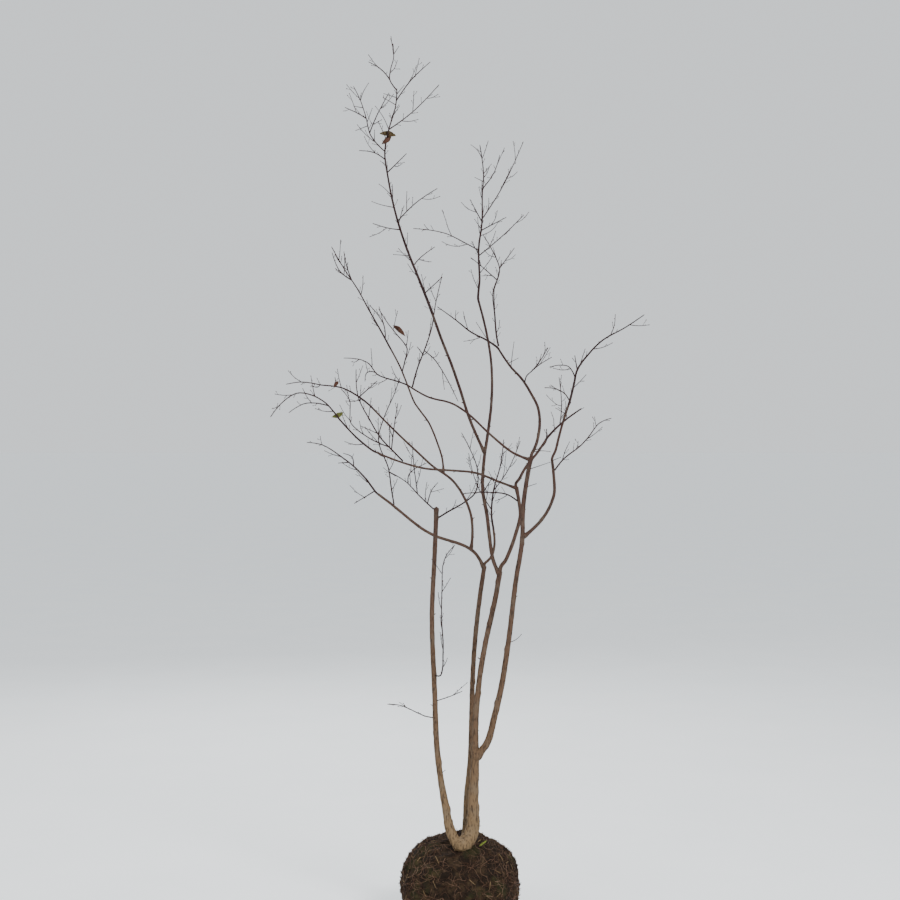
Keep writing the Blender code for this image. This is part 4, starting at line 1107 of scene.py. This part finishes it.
class ShrubTwigs(bpy.types.PropertyGroup):
    """Sizes of the finest twigs and their buds."""

    every: FloatProperty(
        name="Twig spacing", description="Distance between fine twigs along a shoot",
        default=0.034, min=0.005, unit="LENGTH",
    )
    reach: FloatProperty(
        name="Twig reach", description="Length of the longest fine twig", default=0.024,
        min=0.005, unit="LENGTH",
    )
    bud_every: FloatProperty(
        name="Bud spacing", description="Distance between buds along a twig", default=0.013,
        min=0.003, unit="LENGTH",
    )
    bud_length: FloatProperty(
        name="Bud length", description="Length of a winter bud", default=0.0028, min=0.0005,
        unit="LENGTH",
    )


class ShrubBall(bpy.types.PropertyGroup):
    """Sizes and colours of the root ball."""

    fineness: IntProperty(
        name="Fineness", description="Times that the soil's surface is divided", default=7, min=3, max=8
    )
    roots: IntProperty(name="Fine roots", description="Root threads on the ball", default=1300, min=0)
    straws: IntProperty(name="Straws", description="Dry stalks on the ball", default=60, min=0)
    crumbs: IntProperty(name="Crumbs", description="Loose crumbs on the ball", default=900, min=0)
    damp: FloatVectorProperty(
        name="Damp soil", description="Colour of damp soil", default=(0.010, 0.006, 0.0035), size=3,
        subtype="COLOR", min=0, max=1,
    )
    dry: FloatVectorProperty(
        name="Dry soil", description="Colour of dry crumbs", default=(0.034, 0.021, 0.011), size=3,
        subtype="COLOR", min=0, max=1,
    )


class ShrubStage(bpy.types.PropertyGroup):
    """The floor, light and camera."""

    lens: FloatProperty(name="Lens", description="Camera lens", default=58.52, min=10, unit="CAMERA")
    key: FloatProperty(name="Key light", description="Power of the main light", default=260, min=0)
    backdrop: FloatVectorProperty(
        name="Surround", description="Colour all round", default=(0.93, 0.97, 1.0), size=3,
        subtype="COLOR", min=0, max=1,
    )


# A limb that leaves another swells by this share where it does, that far along it.
FORK_SWELL = 0.42
FORK_SWELL_AT = 0.006
FORK_SWELL_LENGTH = 0.011
THIN_LIMB = 0.005           # a limb with a smaller radius has less relief
THIN_RELIEF = 0.7

SPUR_SHARE = 0.45           # of the knots that keep a broken spur
SPUR_RISE = 0.5             # along the limb, for each part outwards
SPUR_ROOT = 0.6             # how far out it starts, in the limb's radii
SPUR_LENGTHS = (0.002, 0.006)
SPUR_RADII = (0.0008, 0.0014)
SPUR_SHAPE = ((0, 1.5), (0.5, 1.1), (0.85, 0.9), (1, 0.5))  # place in lengths, radius in radii


def swell_at_fork(line):
    """Makes a limb fuller where it leaves the one that it grows from."""
    for i, distance in enumerate(line.marks):
        bump = math.exp(-(((distance - FORK_SWELL_AT) / FORK_SWELL_LENGTH) ** 2))
        line.radii[i] *= 1 + FORK_SWELL * bump


def add_spur(shell, line, spot, turn, dice):
    """Adds the stub of a snapped twig at a knot."""
    point, radius = line.at(spot)
    along = line.heading(spot)
    way = (SPUR_RISE * along + across(along, turn)).normalized()
    start = point + way * radius * SPUR_ROOT
    length = radius * SPUR_ROOT + dice.uniform(*SPUR_LENGTHS)
    points = [start + way * length * share for share, _ in SPUR_SHAPE]
    thick = dice.uniform(*SPUR_RADII)
    shell.tube(points, [thick * fuller for _, fuller in SPUR_SHAPE], TWIG_SIDES)


class SHRUB_OT_limbs(bpy.types.Operator):
    """Replace each limb with one that has its bark's relief"""

    bl_idname = "shrub.limbs"
    bl_label = "Limbs"

    def execute(self, context):
        settings = context.scene.shrub_bark
        limbs = plant()[0]
        bark = limb_bark(settings)
        spurs = Shell()
        for number, row in enumerate(LIMBS):
            dice = random.Random(number)
            line = refined(limbs[row.name], BARK_RING)
            if row.foot:
                swell_at_fork(line)
            depth = settings.relief * (1 if line.radii[0] > THIN_LIMB else THIN_RELIEF)
            relief, knots = bark_relief(line, settings.sides, depth, dice)
            shell = Shell()
            shell.tube(line.points, line.radii, settings.sides, relief)
            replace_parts(shell.piece(f"{row.name}_bark", bark, "old_bark"), row.name)
            for spot, turn in knots:
                if dice.random() <= SPUR_SHARE:
                    add_spur(spurs, line, spot, turn, dice)
        spurs.piece("broken_spurs", bark, "old_bark")
        return {"FINISHED"}


COLLAR_FULLER = 1.10        # how much fuller the collar is than the stems' feet
FLARE = 0.16                # how much more it flares at the very foot
FLARE_LENGTH = 0.022
STUMP_BACK = 0.012          # each ring of the old stump lies this far behind the last
STUMP_DROP = 0.004
STUMP_SHAPE = (0.68, 0.94, 1, 0.8)      # of its rings, in shares of its radius
COLLAR_VOXEL = 0.0011
COLLAR_SMOOTHING = 6
FOLD_WIDTH = 0.006          # of the folds that run up the collar
FOLD_LENGTH = 0.030
FOLD_DEPTH = 0.0026
FOLD_RISE = 0.0007          # how far the wood between two folds stands out
PORE_SIZE = 0.0030
PORE_DEPTH = 0.0005


class SHRUB_OT_collar(bpy.types.Operator):
    """Replace the root collar with one gnarled foot that the stems flare from"""

    bl_idname = "shrub.collar"
    bl_label = "Root collar"

    def execute(self, context):
        obj = self.feet().piece("root_collar_bark", limb_bark(context.scene.shrub_bark), "old_bark")
        mesh = self.fused(obj, context)
        self.wrinkle(mesh)
        obj.data = mesh
        mesh.shade_smooth()
        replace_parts(obj, "root_collar")
        return {"FINISHED"}

    def feet(self):
        """The stems' flaring feet and the old stump, still apart."""
        limbs = plant()[0]
        shell = Shell()
        for name, length in COLLAR.items():
            line = refined(limbs[name].part(0, length), BARK_RING)
            flares = [COLLAR_FULLER + FLARE * math.exp(-mark / FLARE_LENGTH) for mark in line.marks]
            radii = [radius * flare for radius, flare in zip(line.radii, flares)]
            shell.tube(line.points, radii, COLLAR_SIDES)
        knuckle = placed(KNUCKLE)
        stump = [
            knuckle + Vector((0, STUMP_BACK * k, -STUMP_DROP * k)) for k in range(len(STUMP_SHAPE))
        ]
        shell.tube(stump, [KNUCKLE_RADIUS * share for share in STUMP_SHAPE], COLLAR_SIDES)
        return shell

    def fused(self, obj, context):
        """The feet as one flowing surface."""
        remesh = obj.modifiers.new("fused", "REMESH")
        remesh.mode = "VOXEL"
        remesh.voxel_size = COLLAR_VOXEL
        remesh.use_smooth_shade = True
        smoothed = obj.modifiers.new("flowing", "SMOOTH")
        smoothed.iterations = COLLAR_SMOOTHING
        graph = context.evaluated_depsgraph_get()
        mesh = bpy.data.meshes.new_from_object(obj.evaluated_get(graph))
        obj.modifiers.clear()
        mesh.name = "root_collar_bark"
        return mesh

    def wrinkle(self, mesh):
        """Gives the surface its folds and pores."""
        for vert in mesh.vertices:
            spot = vert.co
            place = Vector((spot.x / FOLD_WIDTH, spot.y / FOLD_WIDTH, spot.z / FOLD_LENGTH))
            fold = FOLD_DEPTH * abs(noise.noise(place))
            pore = PORE_DEPTH * noise.noise(spot / PORE_SIZE)
            vert.co = spot + vert.normal * (FOLD_RISE - fold + pore)


SHOOT_SEED = 500            # added to a mass's own
SHOOT_RELIEF = 0.10
BARK_STANDS_OUT = 1.18      # how much fuller a shoot looks than its three-sided core


class SHRUB_OT_twigs(bpy.types.Operator):
    """Replace the masses with shoots, side twigs, the finest twigs and their buds"""

    bl_idname = "shrub.twigs"
    bl_label = "Twigs and buds"

    def execute(self, context):
        settings = context.scene.shrub_twigs
        limbs, shoots, sides = plant()
        bark = twig_bark(context.scene.shrub_bark)
        leading, side, finest, buds = Shell(), Shell(), Shell(), Shell()
        for line in single_twigs(limbs, shoots):
            side.tube(line.points, line.radii, TWIG_SIDES)
            buds.bud(line.points[-1], line.heading(line.length), settings.bud_length * TIP_BUD)
        for mass in MASSES:
            dice = random.Random(SHOOT_SEED + mass.seed)
            for line in shoots[mass.name]:
                fine = refined(line, SHOOT_RING)
                relief, _ = bark_relief(fine, LEAD_SIDES, SHOOT_RELIEF, dice)
                leading.tube(fine.points, fine.radii, LEAD_SIDES, relief * BARK_STANDS_OUT)
            for line in sides[mass.name]:
                fine = refined(line, SHOOT_RING)
                side.tube(fine.points, [radius * BARK_STANDS_OUT for radius in fine.radii], TWIG_SIDES)
            twigs, points = fine_growth(mass, shoots[mass.name], sides[mass.name], settings)
            for line in twigs:
                finest.tube(line.points, line.radii, FINE_SIDES)
            for point, way, length in points:
                buds.bud(point, way, length)
        shooting = leading.piece("leading_shoots", bark, "young_bark")
        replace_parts(shooting, *(mass.name for mass in MASSES))
        side.piece("side_twigs", bark, "young_bark")
        finest.piece("fine_twigs", bark, "young_bark")
        buds.piece("winter_buds", small_finish("bud_scales"), "young_bark")
        return {"FINISHED"}


LEAF_ROWS = 14              # of faces from foot to tip
LEAF_COLUMNS = 8
LEAF_FULLNESS = 0.85        # below one, a leaf is widest nearer its foot
LEAF_END = 0.0002           # half its width at foot and tip
LEAF_CURL = 0.35            # how much higher its edges are than its middle, in widths
LEAF_LEVEL = 0.4            # the share of that by which its middle sinks
LEAF_CREASE = 0.10          # how high its creases are, in widths
CREASE_SIZE = 0.004
FIRST_LEAF_TURN = 0.7       # round its own way, in radians, and one more for each leaf after it


def leaf_mesh(shell, foot, tip, width, turn):
    """A curled, creased leaf blade, narrow at its foot and tip."""
    along = tip - foot
    length = along.length
    way = along.normalized()
    sideways = across(way, turn)
    lift = way.cross(sideways)
    start = Vector((turn, 0, 0))
    verts = []
    for i in range(LEAF_ROWS + 1):
        share = i / LEAF_ROWS
        half = 0.5 * width * math.sin(math.pi * share ** LEAF_FULLNESS) + LEAF_END
        for k in range(LEAF_COLUMNS + 1):
            out = 2 * k / LEAF_COLUMNS - 1
            spot = foot + way * (length * share) + sideways * (half * out)
            curl = LEAF_CURL * width * (out * out - LEAF_LEVEL) * math.sin(math.pi * share)
            crease = LEAF_CREASE * width * noise.noise(spot / CREASE_SIZE + start)
            verts.append(tuple(spot + lift * (curl + crease)))
    faces = []
    row = LEAF_COLUMNS + 1
    for i in range(LEAF_ROWS):
        for k in range(LEAF_COLUMNS):
            first = i * row + k
            faces.append((first, first + 1, first + 1 + row, first + row))
    shell.add(verts, faces)


class SHRUB_OT_leaves(bpy.types.Operator):
    """Add the few dried leaves left on the twigs and the small one on the root ball"""

    bl_idname = "shrub.leaves"
    bl_label = "Dried leaves"

    def execute(self, context):
        for number, (foot, tip, width, finish) in enumerate((*DRIED_LEAVES, BALL_LEAF)):
            shell = Shell()
            leaf_mesh(shell, placed(foot), placed(tip), width, number + FIRST_LEAF_TURN)
            shell.piece(f"leaf_{number + 1}", small_finish(finish), "young_bark")
        return {"FINISHED"}


# What lies on the root ball. A LOWEST is the height of the lowest way that it lies in, where the
# ball's middle is 0 and its top 1, and a pair is the least and the most that the dice give.
BALL_SEED = 77
ROOT_LOWEST = -0.55
ROOT_STEPS = (5, 13)
ROOT_STRIDES = (0.03, 0.06)         # in radians round the ball
ROOT_WANDER = 0.55                  # how much each stride turns aside
ROOT_LIFTS = (0.0004, 0.0016)       # above the soil
ROOT_END_LIFT = 0.006               # the most that an end stands up beyond that
ROOT_CLEARANCE = 0.002              # a root that comes nearer to the floor is left out
ROOT_RADII = (0.00022, 0.00065)
ROOT_TAPER = 0.6
PALE_EVERY = 3                      # one root in this many is pale

STRAW_LOWEST = -0.1
STRAW_LENGTHS = (0.008, 0.026)
STRAW_LIFT = 0.0012
STRAW_BOWS = (0.02, 0.10)           # in shares of its length
STRAW_RADII = (0.0004, 0.0009)
STRAW_SHARES = (-0.5, -0.25, 0, 0.25, 0.5)

CRUMB_LOWEST = -0.6
CRUMB_RADII = (0.0010, 0.0034)
CRUMB_DIVISIONS = 2
CRUMB_UNEVEN = 0.45
CRUMB_LUMP = 0.8                    # the size of its unevenness, in radii


class SHRUB_OT_root_ball(bpy.types.Operator):
    """Replace the root ball with crumbly soil, fine roots, straws and crumbs"""

    bl_idname = "shrub.root_ball"
    bl_label = "Root ball"

    def execute(self, context):
        settings = context.scene.shrub_ball
        dice = random.Random(BALL_SEED)
        soil = damp_soil(settings)
        self.soil(settings.fineness, soil)
        self.threads(dice, settings.roots)
        self.straws(dice, settings.straws)
        self.crumbs(dice, settings.crumbs, soil)
        return {"FINISHED"}

    def soil(self, fineness, finish):
        """The soil's own surface."""
        shape = bmesh.new()
        bmesh.ops.create_icosphere(shape, subdivisions=fineness, radius=1)
        for vert in shape.verts:
            vert.co = crumbly(vert.co.normalized())
        shell = Shell()
        shell.take(shape)
        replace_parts(shell.piece("soil", finish, "root_soil"), "root_ball")

    def threads(self, dice, count):
        """Fine roots that wander over the soil, with ends that stand up."""
        shells = {"pale": Shell(), "brown": Shell()}
        for i in range(count):
            way = random_way(dice, ROOT_LOWEST)
            heading = across(way, dice.uniform(0, math.tau))
            steps = dice.randint(*ROOT_STEPS)
            lift = dice.uniform(*ROOT_LIFTS)
            points = []
            for k in range(steps):
                rise = lift + (ROOT_END_LIFT * dice.random() if k in (0, steps - 1) else 0)
                points.append(crumbly(way) + way * rise)
                aside = across(way, dice.uniform(0, math.tau)) * ROOT_WANDER
                heading = (heading + aside).normalized()
                way = (way + heading * dice.uniform(*ROOT_STRIDES)).normalized()
            if min(point.z for point in points) < ROOT_CLEARANCE:
                continue
            thick = dice.uniform(*ROOT_RADII)
            radii = [thick * (1 - ROOT_TAPER * k / steps) for k in range(steps)]
            fine = refined(Line(points, radii), ROOT_RING)
            tone = "pale" if i % PALE_EVERY == 0 else "brown"
            shells[tone].tube(fine.points, fine.radii, FINE_SIDES)
        for tone, shell in shells.items():
            shell.piece(f"{tone}_roots", small_finish(f"{tone}_root"), "root_soil")

    def straws(self, dice, count):
        """Dry stalks that lie bowed on the soil."""
        shell = Shell()
        for _ in range(count):
            way = random_way(dice, STRAW_LOWEST)
            heading = across(way, dice.uniform(0, math.tau))
            length = dice.uniform(*STRAW_LENGTHS)
            middle = crumbly(way) + way * STRAW_LIFT
            bow = way * length * dice.uniform(*STRAW_BOWS)
            points = [
                middle + heading * length * share + bow * (1 - 4 * share * share)
                for share in STRAW_SHARES
            ]
            thick = dice.uniform(*STRAW_RADII)
            shell.tube(points, [thick] * len(points), STRAW_SIDES)
        shell.piece("straws", small_finish("dry_straw"), "root_soil")

    def crumbs(self, dice, count, finish):
        """Loose crumbs of soil."""
        shell = Shell()
        for _ in range(count):
            spot = crumbly(random_way(dice, CRUMB_LOWEST))
            size = dice.uniform(*CRUMB_RADII)
            if spot.z < 2 * size:
                continue
            shape = bmesh.new()
            bmesh.ops.create_icosphere(shape, subdivisions=CRUMB_DIVISIONS, radius=size)
            for vert in shape.verts:
                lump = noise.noise((vert.co + spot) / (CRUMB_LUMP * size))
                vert.co = spot + vert.co * (1 + CRUMB_UNEVEN * lump)
            shell.take(shape)
        shell.piece("crumbs", finish, "root_soil")


# Each light's place, its size and its share of the main light's power.
LIGHTS = {
    "key": ((2.4, -3.0, 3.6), 1.4, 1),
    "fill": ((-3.0, -2.4, 2.0), 2.4, 0.3),
    "back": ((-0.8, 3.0, 3.0), 2.0, 0.35),
}
LIGHTS_AIM = Vector((0, 0, 1.0))
SENSOR_WIDTH = 36                   # in millimetres, as the lens is
FLOOR_RADIUS = 600                  # so far that its edge is lost in the surround
FLOOR_SIDES = 96
FLOOR_TONES = ((0.74, 0.765, 0.775), (0.77, 0.79, 0.80))
FLOOR_ROUGHNESS = 0.7
FLOOR_GLOW = (0.93, 0.97, 1.0)
FLOOR_GLOW_STRENGTH = 0.20


class SHRUB_OT_stage(bpy.types.Operator):
    """Set up the pale floor, the soft light and the camera"""

    bl_idname = "shrub.stage"
    bl_label = "Stage"

    def execute(self, context):
        settings = context.scene.shrub_stage
        scene = context.scene
        self.surround(scene, settings.backdrop)
        self.floor(scene)
        self.lights(scene, settings.key)
        self.camera(scene, settings.lens)
        return {"FINISHED"}

    def surround(self, scene, backdrop):
        scene.world = scene.world or bpy.data.worlds.new("surround")
        scene.world.use_nodes = True
        background = scene.world.node_tree.nodes["Background"]
        background.inputs["Color"].default_value = (*backdrop, 1)
        background.inputs["Strength"].default_value = 1.0

    def lights(self, scene, key_power):
        for name, (place, size, share) in LIGHTS.items():
            data = bpy.data.lights.new(name, "AREA")
            data.size = size
            data.energy = key_power * share
            light = bpy.data.objects.new(name, data)
            light.location = place
            aim = LIGHTS_AIM - Vector(place)
            light.rotation_euler = aim.to_track_quat("-Z", "Y").to_euler()
            scene.collection.objects.link(light)

    def camera(self, scene, lens):
        """A level camera, where the front view is seen from."""
        data = bpy.data.cameras.new("camera")
        data.lens = lens
        data.sensor_width = SENSOR_WIDTH
        data.sensor_fit = "HORIZONTAL"
        camera = bpy.data.objects.new("camera", data)
        camera.location = (EYE_SIDE, -EYE_DISTANCE, EYE_HEIGHT)
        camera.rotation_euler = (math.radians(90), 0, 0)
        scene.collection.objects.link(camera)
        scene.camera = camera

    def floor(self, scene):
        mesh = bpy.data.meshes.new("floor")
        shape = bmesh.new()
        bmesh.ops.create_circle(shape, cap_ends=True, segments=FLOOR_SIDES, radius=FLOOR_RADIUS)
        shape.to_mesh(mesh)
        shape.free()
        mesh.materials.append(self.floor_finish())
        floor = bpy.data.objects.new("floor", mesh)
        scene.collection.objects.link(floor)

    def floor_finish(self):
        material = bpy.data.materials.new("pale_floor")
        material.use_nodes = True
        tree = material.node_tree
        shader = tree.nodes["Principled BSDF"]
        place = add_node(tree, "ShaderNodeTexCoord").outputs["Object"]
        tone = ranged(tree, noise_node(tree, place, scale=3.0, detail=3.0), low=0.3, high=0.7)
        tree.links.new(mixed(tree, tone, *FLOOR_TONES), shader.inputs["Base Color"])
        shader.inputs["Roughness"].default_value = FLOOR_ROUGHNESS
        shader.inputs["Emission Color"].default_value = (*FLOOR_GLOW, 1)
        shader.inputs["Emission Strength"].default_value = FLOOR_GLOW_STRENGTH
        return material


OPERATORS = (
    SHRUB_OT_limbs,
    SHRUB_OT_collar,
    SHRUB_OT_twigs,
    SHRUB_OT_leaves,
    SHRUB_OT_root_ball,
    SHRUB_OT_stage,
)
SETTINGS = {
    "shrub_bark": ShrubBark,
    "shrub_twigs": ShrubTwigs,
    "shrub_ball": ShrubBall,
    "shrub_stage": ShrubStage,
}


class SHRUB_PT_panel(bpy.types.Panel):
    """The shrub's pieces and their settings"""

    bl_idname = "SHRUB_PT_panel"
    bl_label = "Bare shrub"
    bl_space_type = "VIEW_3D"
    bl_region_type = "UI"
    bl_category = "Shrub"

    def draw(self, context):
        for operator in OPERATORS:
            self.layout.operator(operator.bl_idname)
        for name, group in SETTINGS.items():
            box = self.layout.box()
            for key in group.__annotations__:
                box.prop(getattr(context.scene, name), key)


def register():
    for made in (*SETTINGS.values(), *OPERATORS, SHRUB_PT_panel):
        bpy.utils.register_class(made)
    for name, group in SETTINGS.items():
        setattr(bpy.types.Scene, name, PointerProperty(type=group))


def unregister():
    for name in SETTINGS:
        delattr(bpy.types.Scene, name)
    for made in reversed((*SETTINGS.values(), *OPERATORS, SHRUB_PT_panel)):
        bpy.utils.unregister_class(made)


def main():
    register()
    bpy.ops.shrub.stage()
    bpy.ops.shrub.limbs()
    bpy.ops.shrub.collar()
    bpy.ops.shrub.twigs()
    bpy.ops.shrub.leaves()
    bpy.ops.shrub.root_ball()


if __name__ == "__main__":
    main()
